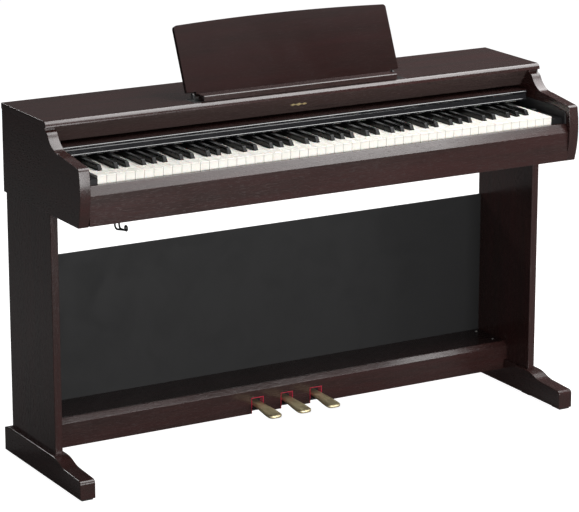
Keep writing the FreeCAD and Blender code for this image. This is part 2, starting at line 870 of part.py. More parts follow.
def rest_stay(side):
    """Flat strut that props the rest: round ends, a pin at the pivot and a foot on the top board."""
    half = "stay_thickness / 2"
    bar = padded("YZ_Plane", [
        (half, "0"),
        (half + " + stay_long", "0", half, 1),
        (half + " + stay_long", "stay_thickness"),
        (half, "stay_thickness", half, 1),
    ], "stay_width")
    pivot_depth = "rest_pivot_depth + stay_pivot * sin(rest_lean) + stay_sink * cos(rest_lean)"
    pivot_height = "rest_pivot_height + stay_pivot * cos(rest_lean) - stay_sink * sin(rest_lean)"
    bar.Placement = FreeCAD.Placement(Vector(), Rotation(Vector(1, 0, 0), -SIZES["stay_angle"]))
    middle = side + "stay_offset"
    place(bar, middle + " - stay_width / 2",
          "%s - %s * (cos(stay_angle) + sin(stay_angle))" % (pivot_depth, half),
          "%s + %s * (sin(stay_angle) - cos(stay_angle))" % (pivot_height, half))
    pin_half = "(recess_width / 2 + 3)"
    pin = cylinder("stay_pin", pin_half + " * 2", middle + " - " + pin_half,
                   pivot_depth, pivot_height, "x")
    return fused([bar, pin])


def make_rest():
    """Music rest with its ledge, hinge rail and stays."""
    node(rest_panel(), "music_rest_panel")
    node(rest_ledge(), "music_rest_ledge")
    node(hinge_rail(), "rest_hinge_rail")
    node(rest_stay("-"), "left_rest_stay")
    node(rest_stay(""), "right_rest_stay")


# ---------------------------------------------------------------- stand

LEG_INNER = "leg_outer - leg_thickness"
SLOTS = ("-slot_pitch", "0", "slot_pitch")


def upright_edge(edge):
    """True for an upright edge at the front of a leg."""
    front = value("leg_front")
    return all(abs(vertex.Y - front) < EXACT for vertex in edge.Vertexes) \
        and abs(edge.Vertexes[0].Z - edge.Vertexes[-1].Z) > 1


def leg(x):
    """Upright panel between a foot and the cabinet, with softened front edges."""
    panel = profile([
        ("leg_back", "foot_height"),
        ("leg_back", "cheek_bottom"),
        ("leg_front", "cheek_bottom"),
        ("leg_front", "foot_height"),
    ], x)
    return rounded(panel, upright_edge, "edge_round")


def upper_edge(edge):
    """True for a side edge along the top of a foot."""
    level = all(abs(vertex.X - edge.Vertexes[0].X) < EXACT for vertex in edge.Vertexes)
    return level and all(vertex.Z > value("foot_toe_height") - value("foot_toe_round") - EXACT
                         for vertex in edge.Vertexes)


def foot(x):
    """Long foot: flat under the leg, an S-shaped instep and a low round toe."""
    middle = "(foot_instep + foot_toe_back) / 2"
    mid_height = "(foot_height + foot_instep_height) / 2"
    run = "((foot_instep - foot_toe_back) / 2)"
    drop = "((foot_height - foot_instep_height) / 2)"
    curve = "(%s ^ 2 + %s ^ 2) / (2 * %s)" % (run, drop, drop)
    sole = profile([
        ("overall_depth", "foot_sole"),
        ("overall_depth", "foot_heel_height"),
        ("overall_depth - foot_heel_slope", "foot_height"),
        ("foot_instep", "foot_height", curve, 1),
        (middle, mid_height, curve, -1),
        ("foot_toe_back", "foot_instep_height"),
        ("foot_front + foot_toe_round", "foot_toe_height", "foot_toe_round", 1),
        ("foot_front", "foot_toe_height - foot_toe_round"),
        ("foot_front", "foot_sole"),
    ], x)
    return rounded(sole, upper_edge, "edge_round")


def foot_pads():
    """Three pads under each foot."""
    inner = "foot_inner + pad_inset"
    outer = "overall_width / 2 - pad_inset"
    pads = []
    for start in ("pad_front", "pad_middle", "pad_back"):
        for x in ((inner, outer), ("-(%s)" % outer, "-(%s)" % inner)):
            pads.append(box(x, (start, start + " + pad_long"), ("0", "foot_sole")))
    return compound(pads)


def pedal_front_board():
    """Front board of the pedal box: chamfered above, slotted for the pedals, notched over the feet."""
    back = "pedal_box_front + pedal_box_thickness"
    board = profile([
        (back, "pedal_box_bottom"),
        (back, "pedal_box_top"),
        ("pedal_box_front + pedal_box_chamfer", "pedal_box_top"),
        ("pedal_box_front", "pedal_box_top - pedal_box_chamfer"),
        ("pedal_box_front", "pedal_box_bottom"),
    ], ("-stretcher_half", "stretcher_half"))
    slots = [box((x + " - slot_width / 2", x + " + slot_width / 2"),
                 ("pedal_box_front - 1", back + " + 1"), ("pedal_box_bottom - 1", "slot_top"))
             for x in SLOTS]
    reach = "(stretcher_half - foot_inner + foot_clearance + 1)"
    notches = [box((x, x + " + " + reach), ("pedal_box_front - 1", back + " + 1"),
                   ("pedal_box_bottom - 1", "foot_height + foot_clearance"))
               for x in ("-stretcher_half - 1", "foot_inner - foot_clearance")]
    return cut(board, slots + notches)


def pedal_felt(x):
    """Felt lining of one slot: two sides and the top."""
    depth = ("pedal_box_front - (felt_long - pedal_box_thickness) / 2",
             "pedal_box_front + (felt_long + pedal_box_thickness) / 2")
    left = (x + " - slot_width / 2", x + " - slot_width / 2 + felt_thickness")
    right = (x + " + slot_width / 2 - felt_thickness", x + " + slot_width / 2")
    upright = ("pedal_box_bottom", "slot_top")
    return fused([
        box(left, depth, upright),
        box(right, depth, upright),
        box((left[0], right[1]), depth, ("slot_top - felt_thickness", "slot_top")),
    ])


def pedal(x):
    """Pedal lever: a bar that droops to a round toe, with a bored boss at its pivot."""
    half = "pedal_thickness / 2"
    span = (x + " - pedal_toe / 2", x + " + pedal_toe / 2")
    side = profile([
        ("pedal_heel", "pedal_pivot_height - " + half),
        ("pedal_heel", "pedal_pivot_height + " + half),
        ("pedal_box_front", "pedal_pivot_height + " + half),
        ("pedal_tip + " + half, "pedal_pivot_height + %s - pedal_drop" % half, half, 1),
        ("pedal_tip + " + half, "pedal_pivot_height - %s - pedal_drop" % half),
        ("pedal_box_front", "pedal_pivot_height - " + half),
    ], span)
    neck_left = "(pedal_toe - pedal_neck) / 2"
    neck_right = "(pedal_toe + pedal_neck) / 2"
    plan = padded("XY_Plane", [
        ("0", "pedal_tip + pedal_toe_crown",
         "(pedal_toe ^ 2 / 4 + pedal_toe_crown ^ 2) / (2 * pedal_toe_crown)", 1),
        ("pedal_toe", "pedal_tip + pedal_toe_crown"),
        ("pedal_toe", "pedal_toe_start"),
        (neck_right, "pedal_box_front"),
        (neck_right, "pedal_heel"),
        (neck_left, "pedal_heel"),
        (neck_left, "pedal_box_front"),
        ("0", "pedal_toe_start"),
    ], "pedal_boss * 4")
    place(plan, span[0], "0", "pedal_pivot_height - pedal_boss * 2.5")
    shaped = doc.addObject("Part::MultiCommon", "shaped")
    shaped.Shapes = [side, plan]
    boss = cylinder("pedal_boss", "pedal_neck", x + " - pedal_neck / 2",
                    "pedal_pivot_depth", "pedal_pivot_height", "x")
    bore = cylinder("pedal_bore", "pedal_neck + 2", x + " - pedal_neck / 2 - 1",
                    "pedal_pivot_depth", "pedal_pivot_height", "x")
    return cut(fused([shaped, boss]), [bore])


def pedal_chassis():
    """Steel tray with a pair of brackets and a shaft for each pedal."""
    floor = ("pedal_box_bottom", "pedal_box_bottom + tray_floor")
    pieces = [box(("-tray_half", "tray_half"), ("tray_front", "tray_back"), floor)]
    clear = "pedal_neck / 2 + 1.5"
    for x in SLOTS:
        for side in ("-1", "1"):
            middle = "%s + %s * (%s + bracket_thickness / 2)" % (x, side, clear)
            pieces.append(box((middle + " - bracket_thickness / 2", middle + " + bracket_thickness / 2"),
                              ("pedal_pivot_depth - pedal_boss - 3", "pedal_pivot_depth + pedal_boss + 3"),
                              (floor[0], "bracket_top")))
        reach = "(%s + bracket_thickness)" % clear
        pieces.append(cylinder("pedal_shaft", reach + " * 2", x + " - " + reach,
                               "pedal_pivot_depth", "pedal_pivot_height", "x"))
    return fused(pieces)


def pedal_spring(x):
    """Return spring under a pedal's heel, as a sleeve of its outer size."""
    foot_of = "pedal_box_bottom + tray_floor"
    tall = "pedal_pivot_height - pedal_thickness / 2 - spring_clearance - (%s)" % foot_of
    depth = "pedal_heel - spring_radius - 1"
    outer = cylinder("spring_radius", tall, x, depth, foot_of)
    inner = cylinder("spring_radius - spring_wall", tall, x, depth, foot_of)
    return cut(outer, [inner])


def make_stand():
    """Legs, feet, pedal box, back panel and pedals."""
    mirrored(leg, "leg", (LEG_INNER, "leg_outer"))
    mirrored(foot, "foot", ("foot_inner", "overall_width / 2"))
    node(foot_pads(), "foot_pads")
    node(pedal_front_board(), "pedal_front_board")
    node(box(("-stretcher_half", "stretcher_half"),
             ("pedal_box_front + pedal_box_thickness", "pedal_lid_back"),
             ("pedal_box_top - pedal_lid_thickness", "pedal_box_top")), "pedal_top_board")
    node(box(("-stretcher_half", "stretcher_half"),
             ("back_panel_front", "back_panel_front + back_panel_thickness"),
             ("pedal_box_top", "back_panel_top")), "stand_back_panel")
    node(pedal_chassis(), "pedal_chassis")
    for x, side in zip(SLOTS, ("left", "middle", "right")):
        node(pedal(x), side + "_pedal")
    node(compound([pedal_felt(x) for x in SLOTS]), "pedal_felts")
    node(compound([pedal_spring(x) for x in SLOTS]), "pedal_springs")
    node(cylinder("adjuster_radius", "pedal_box_bottom", "0", "adjuster_depth", "0"), "pedal_adjuster")
    node(compound([cylinder("screw_radius", "screw_proud", side + "screw_offset", depth, "pedal_box_top")
                   for side in ("-", "") for depth in ("screw_front", "screw_back")]), "stand_screws")


# ---------------------------------------------------------------- hanger and sockets

def hook_stem(side):
    """One wire of the hanger: down from the key slip, round a bend and forward to the eye."""
    root_depth = value("hook_root - overall_depth / 2")
    root = Vector(value("-hook_offset + (%d) * hook_spread" % side), root_depth, value("bed_bottom"))
    corner = root - Vector(0, 0, value("hook_drop"))
    eye = Vector(value("-hook_offset"), root_depth - value("hook_reach"), corner.z + value("hook_rise"))
    ahead = (eye - corner).normalize()
    bend = value("hook_bend")
    start = corner + Vector(0, 0, bend)
    end = corner + ahead * bend
    inward = (Vector(0, 0, 1) + ahead).normalize()
    reach = bend / ahead.dot(inward)
    middle = corner + inward * (reach - math.sqrt(reach ** 2 - bend ** 2))
    path = Part.Wire([
        Part.LineSegment(root, start).toShape(),
        Part.Arc(start, middle, end).toShape(),
        Part.LineSegment(end, eye).toShape(),
    ])
    ring = Part.Wire([Part.Circle(root, Vector(0, 0, 1), value("hook_wire")).toShape()])
    return path.makePipeShell([ring], True, True)


def headphone_hook():
    """Bent wire hanger: two stems that meet in front at an upright eye."""
    hook = doc.addObject("Part::Feature", "hook")
    eye = Part.makeTorus(
        value("hook_eye"), value("hook_wire"),
        Vector(value("-hook_offset"), value("hook_root - hook_reach - overall_depth / 2") - value("hook_eye"),
               value("bed_bottom - hook_drop + hook_rise + hook_eye")),
        Vector(1, 0, 0))
    hook.Shape = hook_stem(-1).fuse([hook_stem(1), eye]).removeSplitter()
    return hook


def jack_box():
    """Box under the key bed with two headphone sockets in its front."""
    body = box(("-jack_box_offset - jack_box_width / 2", "-jack_box_offset + jack_box_width / 2"),
               ("jack_box_front", "jack_box_front + jack_box_long"),
               ("bed_bottom - jack_box_tall", "bed_bottom"))
    sockets = [cylinder("jack_radius", "jack_deep + 1", "-jack_box_offset %s jack_spacing / 2" % sign,
                        "jack_box_front - 1", "bed_bottom - jack_box_tall / 2", "y")
               for sign in ("-", "+")]
    return cut(body, sockets)


def power_inlet():
    """Block under the key bed with a round low-voltage socket in its back."""
    body = box(("inlet_offset - inlet_width / 2", "inlet_offset + inlet_width / 2"),
               ("inlet_back - inlet_long", "inlet_back"), ("bed_bottom - inlet_tall", "bed_bottom"))
    socket = cylinder("inlet_radius", "inlet_deep + 1", "inlet_offset", "inlet_back - inlet_deep",
                      "bed_bottom - inlet_tall / 2", "y")
    return cut(body, [socket])


def make_sockets():
    """Headphone hanger, headphone sockets and power inlet."""
    node(headphone_hook(), "headphone_hook")
    node(jack_box(), "headphone_jack_box")
    node(power_inlet(), "power_inlet")


# ---------------------------------------------------------------- checks and files

def check():
    """Stop if any object failed or any sub-part is empty or broken."""
    for thing in doc.Objects:
        if "Invalid" in thing.State or "Error" in thing.State:
            raise RuntimeError("failed: " + thing.Name)
    for thing in nodes:
        if thing.Shape.isNull() or not thing.Shape.isValid() or thing.Shape.Volume < 1:
            raise RuntimeError("bad shape: " + thing.Label)
    labels = [thing.Label for thing in nodes]
    if len(set(labels)) != len(labels):
        raise RuntimeError("two sub-parts share a name")


def write():
    """Write one file for each sub-part."""
    os.makedirs("parts", exist_ok=True)
    for thing in nodes:
        thing.Shape.exportStep("parts/%s.step" % thing.Label)
        size = thing.Shape.BoundBox
        print("%-22s solids %2d  volume %10.0f  y %7.1f %7.1f  z %6.1f %6.1f" % (
            thing.Label, len(thing.Shape.Solids), thing.Shape.Volume,
            size.YMin, size.YMax, size.ZMin, size.ZMax))
    print("sub-parts:", len(nodes))


fill_sheet()
make_cabinet()
make_key_well()
make_keys()
make_cover()
make_rest()
make_stand()
make_sockets()
doc.recompute()
check()
write()
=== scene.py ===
"""Looks of a digital piano on its stand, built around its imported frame.

Every piece is placed from the frame's own boxes, in metres: +X to the player's right, +Y away from
the player, +Z up. Each sub-assembly is a class that builds its pieces, dresses them in a finish and
lets them ride on the body that carries them.
"""
import json
import logging
import math
from dataclasses import dataclass, field
from enum import Enum
from typing import Iterable, Sequence

import bmesh
import bpy
from mathutils import Matrix, Vector


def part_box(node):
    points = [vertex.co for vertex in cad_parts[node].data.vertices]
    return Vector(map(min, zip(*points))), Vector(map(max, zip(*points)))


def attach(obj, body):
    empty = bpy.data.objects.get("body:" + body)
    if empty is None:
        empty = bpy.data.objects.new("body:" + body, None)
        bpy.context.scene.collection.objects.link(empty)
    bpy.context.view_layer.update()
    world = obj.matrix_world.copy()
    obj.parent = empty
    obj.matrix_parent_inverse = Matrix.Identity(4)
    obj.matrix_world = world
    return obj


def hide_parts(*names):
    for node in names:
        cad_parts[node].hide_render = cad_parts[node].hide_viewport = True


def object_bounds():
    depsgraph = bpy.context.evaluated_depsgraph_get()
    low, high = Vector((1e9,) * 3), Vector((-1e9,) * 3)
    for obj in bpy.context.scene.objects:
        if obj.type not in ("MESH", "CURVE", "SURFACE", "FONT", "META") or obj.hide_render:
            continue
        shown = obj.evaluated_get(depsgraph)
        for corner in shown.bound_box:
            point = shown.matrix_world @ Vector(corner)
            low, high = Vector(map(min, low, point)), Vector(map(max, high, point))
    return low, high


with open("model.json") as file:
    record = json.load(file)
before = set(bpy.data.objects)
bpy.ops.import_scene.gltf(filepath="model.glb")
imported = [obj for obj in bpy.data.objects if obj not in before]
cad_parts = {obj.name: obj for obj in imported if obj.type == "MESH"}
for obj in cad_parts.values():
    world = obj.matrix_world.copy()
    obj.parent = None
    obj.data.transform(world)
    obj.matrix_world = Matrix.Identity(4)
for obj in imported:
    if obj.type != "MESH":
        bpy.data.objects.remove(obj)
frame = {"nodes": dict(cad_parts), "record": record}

CAD_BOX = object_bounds()
LOG = logging.getLogger("piano")
Colour = tuple[float, float, float]
Socket = bpy.types.NodeSocket
BODY_OF = {node: body
           for body, nodes in frame["record"]["behaviour"]["bodies"].items() for node in nodes}
MM = 0.001
SIDES = ("left", "right")
WELD = 0.002 * MM            # corners closer than this are one corner
LEVEL = 0.4                  # degrees: faces nearer than this to one plane are one face
ON_AXIS = 1e-9               # a lathe's point with a smaller radius is on its axis


class Grain(Enum):
    """Direction of a board's grain, as how often the figure repeats per metre along X, Y and Z."""

    ALONG_X = (1.0, 16.0, 16.0)
    ALONG_Y = (16.0, 1.0, 16.0)
    ALONG_Z = (16.0, 16.0, 1.0)


# ---------------------------------------------------------------- shader tools


class NodeBench:
    """Adds nodes to one node tree and joins them."""

    def __init__(self, tree: bpy.types.NodeTree) -> None:
        """Start on a tree."""
        self.tree = tree

    def node(self, kind: str, inputs: dict | None = None, **settings: object) -> bpy.types.Node:
        """Add a node.

        Args:
            kind: Blender's name of the node type, without "ShaderNode".
            inputs: Value or socket for each named or numbered input.
            **settings: Properties of the node.

        Returns:
            The new node.
        """
        made = self.tree.nodes.new("ShaderNode" + kind)
        for name, setting in settings.items():
            setattr(made, name, setting)
        self.feed(made, inputs or {})
        return made

    def feed(self, made: bpy.types.Node, inputs: dict) -> None:
        """Give inputs their values or links.

        Args:
            made: Node whose inputs are set.
            inputs: Value or socket for each named or numbered input.
        """
        for key, given in inputs.items():
            if isinstance(given, Socket):
                self.tree.links.new(given, made.inputs[key])
            elif isinstance(given, tuple) and len(given) == 3 and made.inputs[key].type == "RGBA":
                made.inputs[key].default_value = (*given, 1.0)
            else:
                made.inputs[key].default_value = given

    def add(self, first: object, second: object) -> Socket:
        """Add two numbers."""
        return self.node("Math", {0: first, 1: second}, operation="ADD").outputs[0]

    def times(self, first: object, second: object) -> Socket:
        """Multiply two numbers."""
        return self.node("Math", {0: first, 1: second}, operation="MULTIPLY").outputs[0]

    def vector(self, operation: str, first: object, second: object) -> Socket:
        """Work on two vectors."""
        return self.node("VectorMath", {0: first, 1: second}, operation=operation).outputs[0]

    def mix(self, share: object, first: object, second: object) -> Socket:
        """Mix a share of the second colour into the first."""
        return self.node("Mix", {0: share, 6: first, 7: second}, data_type="RGBA").outputs[2]

    def mask(self, value: Socket, low: float, high: float, to_low: object = 0.0,
             to_high: object = 1.0) -> Socket:
        """Map a value from one range to another, kept inside it.

        Args:
            value: Socket to map.
            low: Start of the range that comes in.
            high: End of the range that comes in.
            to_low: Start of the range that goes out.
            to_high: End of the range that goes out.

        Returns:
            The mapped value's socket.
        """
        made = self.node("MapRange", {0: value, 1: low, 2: high, 3: to_low, 4: to_high})
        return made.outputs[0]

    def place(self) -> Socket:
        """Give the object's own coordinates."""
        return self.node("TexCoord").outputs["Object"]

    def noise(self, place: Socket, scale: object, detail: float, **more: float) -> Socket:
        """Add a noise texture and give its value."""
        made = self.node("TexNoise", {"Vector": place, "Scale": scale, "Detail": detail, **more})
        return made.outputs[0]

    def by_view(self, unseen: Socket, seen: Socket, output: bpy.types.Node) -> None:
        """Use one shader where the camera looks at a surface and another for reflected light.

        Args:
            unseen: Shader for reflected light.
            seen: Shader for the camera.
            output: The tree's output node.
        """
        eye = self.node("LightPath").outputs["Is Camera Ray"]
        both = self.node("MixShader", {0: eye, 1: unseen, 2: seen})
        self.feed(output, {"Surface": both.outputs[0]})


def new_group(name: str, inputs: dict[str, object],
              outputs: dict[str, str]) -> tuple[NodeBench, Socket, bpy.types.Node]:
    """Make an empty shader node group.

    Args:
        name: Name of the group.
        inputs: Usual value of each input: a number, a vector or a colour with its alpha.
        outputs: Kind of each output.

    Returns:
        A bench on the group, the outputs of its input node, and its output node.
    """
    tree = bpy.data.node_groups.new(name, "ShaderNodeTree")
    for label, usual in inputs.items():
        size = len(usual) if isinstance(usual, tuple) else 1
        kind = {1: "NodeSocketFloat", 3: "NodeSocketVector", 4: "NodeSocketColor"}[size]
        tree.interface.new_socket(label, in_out="INPUT", socket_type=kind).default_value = usual
    for label, kind in outputs.items():
        tree.interface.new_socket(label, in_out="OUTPUT", socket_type="NodeSocket" + kind)
    given = tree.nodes.new("NodeGroupInput")
    result = tree.nodes.new("NodeGroupOutput")
    return NodeBench(tree), given.outputs, result


class SharedEffects:
    """Node groups that several finishes use, each built once."""

    def __init__(self) -> None:
        """Build the groups."""
        self.wood_grain = self._wood_grain()
        self.edge_wear = self._edge_wear()
        self.fine_grain = self._fine_grain()
        self.smudges = self._smudges()

    @staticmethod
    def _wood_grain() -> bpy.types.NodeTree:
        """Streaked hardwood figure with open pores.

        Returns:
            The group, with outputs Color and Pores.
        """
        bench, given, result = new_group(
            "wood_grain", {"Stretch": (1.0, 16.0, 16.0), "Dark": (0.02, 0.01, 0.01, 1.0),
                           "Light": (0.08, 0.05, 0.04, 1.0), "Red": (0.08, 0.03, 0.03, 1.0)},
            {"Color": "Color", "Pores": "Float"})
        place = bench.place()
        warp = bench.node("TexNoise", {"Vector": place, "Scale": 3.0, "Detail": 2.0})
        drift = bench.node("VectorMath", {0: warp.outputs["Color"], "Scale": 0.02},
                           operation="SCALE")
        moved = bench.vector("ADD", place, drift.outputs[0])
        along = bench.vector("MULTIPLY", moved, given["Stretch"])
        tint = bench.mask(bench.noise(along, 2.2, 5.0, Roughness=0.55), 0.38, 0.64)
        light = bench.mask(bench.noise(along, 17.0, 6.0, Roughness=0.7), 0.40, 0.66)
        pore = bench.mask(bench.noise(along, 60.0, 2.0, Roughness=0.5), 0.56, 0.66)
        body = bench.mix(light, given["Dark"], given["Light"])
        warm = bench.mix(bench.times(tint, 0.65), body, given["Red"])
        final = bench.mix(bench.times(pore, 0.55), warm, given["Dark"])
        bench.feed(result, {"Color": final, "Pores": pore})
        return bench.tree

    @staticmethod
    def _edge_wear() -> bpy.types.NodeTree:
        """Mask of the sharp edges, broken up by noise.

        Returns:
            The group, with the output Mask.
        """
        bench, given, result = new_group("edge_wear", {"Reach": 0.0015, "Breakup": 90.0},
                                         {"Mask": "Float"})
        rounded = bench.node("Bevel", {"Radius": given["Reach"]}, samples=4)
        flat = bench.node("NewGeometry").outputs["Normal"]
        same = bench.node("VectorMath", {0: rounded.outputs[0], 1: flat}, operation="DOT_PRODUCT")
        edge = bench.mask(same.outputs["Value"], 0.99, 0.80)
        broken = bench.mask(bench.noise(bench.place(), given["Breakup"], 3.0), 0.40, 0.62, 0.15)
        bench.feed(result, {"Mask": bench.times(edge, broken)})
        return bench.tree

    @staticmethod
    def _fine_grain() -> bpy.types.NodeTree:
        """Fine even texture of mouldings, felt and painted board.

        Returns:
            The group, with the outputs Value and Height.
        """
        bench, given, result = new_group("fine_grain", {"Scale": 900.0},
                                         {"Value": "Float", "Height": "Float"})
        place = bench.place()
        cells = bench.node("TexVoronoi", {"Vector": place, "Scale": given["Scale"]})
        noise = bench.noise(place, given["Scale"], 3.0)
        height = bench.add(bench.times(cells.outputs["Distance"], 0.5), bench.times(noise, 0.5))
        bench.feed(result, {"Value": noise, "Height": height})
        return bench.tree

    @staticmethod
    def _smudges() -> bpy.types.NodeTree:
        """Slow change of polish, as from wiping and handling.

        Returns:
            The group, with the output Value.
        """
        bench, given, result = new_group("smudges", {"Scale": 9.0, "Low": 0.3, "High": 0.4},
                                         {"Value": "Float"})
        noise = bench.noise(bench.place(), given["Scale"], 4.0, Distortion=0.6)
        made = bench.mask(noise, 0.35, 0.68, given["Low"], given["High"])
        bench.feed(result, {"Value": made})
        return bench.tree


class MaterialBench(NodeBench):
    """Bench on one material, with the effects that finishes share."""

    def __init__(self, tree: bpy.types.NodeTree, effects: SharedEffects) -> None:
        """Start on a material's tree."""
        super().__init__(tree)
        self.effects = effects

    def group(self, tree: bpy.types.NodeTree, **values: object) -> bpy.types.NodeOutputs:
        """Place a node group, with a value or socket for each input, and give its outputs."""
        return self.node("Group", values, node_tree=tree).outputs

    def polish(self, scale: float, low: float, high: float) -> Socket:
        """Give a roughness that drifts between two values."""
        return self.group(self.effects.smudges, Scale=scale, Low=low, High=high)[0]

    def fine(self, scale: float) -> bpy.types.NodeOutputs:
        """Give the fine grain at a scale."""
        return self.group(self.effects.fine_grain, Scale=scale)

    def wear(self, share: float, reach: float, breakup: float) -> Socket:
        """Give a share of the mask of the edges."""
        return self.times(self.group(self.effects.edge_wear, Reach=reach, Breakup=breakup)[0],
                          share)

    def bump(self, height: Socket, strength: float, depth: float) -> Socket:
        """Turn a height into a normal, for a relief of a given depth in metres."""
        made = self.node("Bump", {"Height": height, "Strength": strength, "Distance": depth})
        return made.outputs[0]

    def surface(self, **inputs: object) -> Socket:
        """Set inputs of the Principled shader, their names' spaces as underscores.

        Args:
            **inputs: Value or socket for each input.

        Returns:
            The shader's output.
        """
        shader = self.tree.nodes["Principled BSDF"]
        self.feed(shader, {name.replace("_", " "): given for name, given in inputs.items()})
        return shader.outputs[0]


# ---------------------------------------------------------------- finishes


def shade(colour: Colour, share: float, lift: float = 0.0) -> Colour:
    """Make a colour lighter or darker by a share."""
    return tuple(channel * share + lift for channel in colour)


@dataclass(frozen=True)
class Finish:
    """Base of every finish: a named material built once."""

    name: str

    def dress(self, bench: MaterialBench) -> None:
        """Wire the material.

        Args:
            bench: Bench on the material's tree.
        """
        raise NotImplementedError

    def material(self, effects: SharedEffects) -> bpy.types.Material:
        """Build the material.

        Args:
            effects: The shared node groups.

        Returns:
            The new material.
        """
        made = bpy.data.materials.new(self.name)
        made.use_nodes = True
        self.dress(MaterialBench(made.node_tree, effects))
        return made


@dataclass(frozen=True)
class WoodFinish(Finish):
    """Satin wood-grain foil with pores and slightly rubbed edges."""

    grain: Grain = Grain.ALONG_X
    dark: Colour = (0.0158, 0.0072, 0.0064)
    light: Colour = (0.0255, 0.0122, 0.0107)
    red: Colour = (0.0290, 0.0093, 0.0088)
    worn: Colour = (0.085, 0.062, 0.055)
    low: float = 0.17
    high: float = 0.24
    specular: float = 0.5

    def dress(self, bench: MaterialBench) -> None:
        """Wire grain, pores, polish and rubbed edges.

        Args:
            bench: Bench on the material's tree.
        """
        wood = bench.group(bench.effects.wood_grain, Stretch=self.grain.value, Dark=self.dark,
                           Light=self.light, Red=self.red)
        rubbed = bench.wear(0.35, 0.9 * MM, 70.0)
        polish = bench.polish(5.0, self.low, self.high)
        bench.surface(Base_Color=bench.mix(rubbed, wood["Color"], self.worn),
                      Roughness=bench.add(polish, bench.times(wood["Pores"], 0.12)),
                      Specular_IOR_Level=self.specular,
                      Normal=bench.bump(wood["Pores"], -0.07, 0.10 * MM))


@dataclass(frozen=True)
class MouldedFinish(Finish):
    """Moulded or painted plain surface with a fine texture."""

    colour: Colour = (0.015, 0.015, 0.016)
    low: float = 0.45
    high: float = 0.55
    texture: float = 900.0
    relief: float = 0.12
    specular: float = 0.5

    def dress(self, bench: MaterialBench) -> None:
        """Wire a speckled colour, an uneven polish and a fine relief.

        Args:
            bench: Bench on the material's tree.
        """
        fine = bench.fine(self.texture)
        speckled = bench.mix(fine["Value"], shade(self.colour, 0.8), self.colour)
        rubbed = bench.wear(0.25, 0.6 * MM, 110.0)
        bench.surface(Base_Color=bench.mix(rubbed, speckled, shade(self.colour, 1.6, 0.01)),
                      Roughness=bench.polish(12.0, self.low, self.high),
                      Specular_IOR_Level=self.specular,
                      Normal=bench.bump(fine["Height"], self.relief, 0.08 * MM))


@dataclass(frozen=True)
class LacquerFinish(Finish):
    """Polished lacquer with faint handling marks."""

    colour: Colour = (0.006, 0.006, 0.007)
    low: float = 0.07
    high: float = 0.16

    def dress(self, bench: MaterialBench) -> None:
        """Wire a deep colour under a clear coat with uneven polish.

        Args:
            bench: Bench on the material's tree.
        """
        fine = bench.fine(240.0)["Value"]
        bench.surface(Base_Color=bench.mix(fine, self.colour, shade(self.colour, 1.5)),
                      Roughness=bench.polish(14.0, self.low, self.high),
                      Coat_Weight=0.9, Coat_Roughness=0.05,
                      Normal=bench.bump(fine, 0.02, 0.05 * MM))


@dataclass(frozen=True)
class IvoryFinish(Finish):
    """Warm white key tops, each key a shade apart from the next."""

    colour: Colour = (0.66, 0.645, 0.60)
    deep: Colour = (0.63, 0.61, 0.56)

    def dress(self, bench: MaterialBench) -> None:
        """Wire a colour that drifts from key to key and a soft polish.

        Args:
            bench: Bench on the material's tree.
        """
        island = bench.node("NewGeometry").outputs["Random Per Island"]
        cloud = bench.noise(bench.place(), 30.0, 3.0)
        drift = bench.times(bench.add(island, cloud), 0.45)
        bench.surface(Base_Color=bench.mix(drift, self.colour, self.deep),
                      Roughness=bench.polish(40.0, 0.22, 0.34),
                      Subsurface_Weight=0.08, Subsurface_Scale=2.0 * MM,
                      Normal=bench.bump(bench.fine(1500.0)["Height"], 0.04, 0.03 * MM))


@dataclass(frozen=True)
class MetalFinish(Finish):
    """Plated or drawn metal with fine brush lines along the grain."""

    colour: Colour = (0.60, 0.60, 0.59)
    grain: Grain = Grain.ALONG_Y
    low: float = 0.25
    high: float = 0.38
    tarnish: Colour = (0.36, 0.34, 0.30)

    def dress(self, bench: MaterialBench) -> None:
        """Wire brushed metal with a faint tarnish.

        Args:
            bench: Bench on the material's tree.
        """
        place = bench.place()
        brush = bench.noise(bench.vector("MULTIPLY", place, self.grain.value), 70.0, 2.0)
        dull = bench.mask(bench.noise(place, 55.0, 4.0), 0.52, 0.75, 0.0, 0.7)
        polish = bench.polish(35.0, self.low, self.high)
        bench.surface(Base_Color=bench.mix(dull, self.colour, self.tarnish), Metallic=1.0,
                      Roughness=bench.add(polish, bench.times(dull, 0.12)),
                      Normal=bench.bump(brush, 0.06, 0.04 * MM))


@dataclass(frozen=True)
class FeltFinish(Finish):
    """Dense felt with a soft nap."""

    colour: Colour = (0.42, 0.010, 0.040)
    deep: Colour = (0.20, 0.004, 0.016)

    def dress(self, bench: MaterialBench) -> None:
        """Wire a fibrous colour, a rough nap and a sheen.

        Args:
            bench: Bench on the material's tree.
        """
        coarse = bench.fine(260.0)["Value"]
        bench.surface(Base_Color=bench.mix(coarse, self.deep, self.colour), Roughness=0.95,
                      Sheen_Weight=0.35, Sheen_Roughness=0.4, Specular_IOR_Level=0.15,
                      Normal=bench.bump(bench.fine(1300.0)["Height"], 0.6, 0.35 * MM))


@dataclass(frozen=True)
class LensFinish(Finish):
    """Small polished coloured lens."""

    colour: Colour = (0.35, 0.01, 0.01)

    def dress(self, bench: MaterialBench) -> None:
        """Wire a polished lens.

        Args:
            bench: Bench on the material's tree.
        """
        fine = bench.fine(2500.0)["Value"]
        bench.surface(Base_Color=bench.mix(fine, shade(self.colour, 0.6), self.colour),
                      Roughness=bench.polish(300.0, 0.05, 0.15))


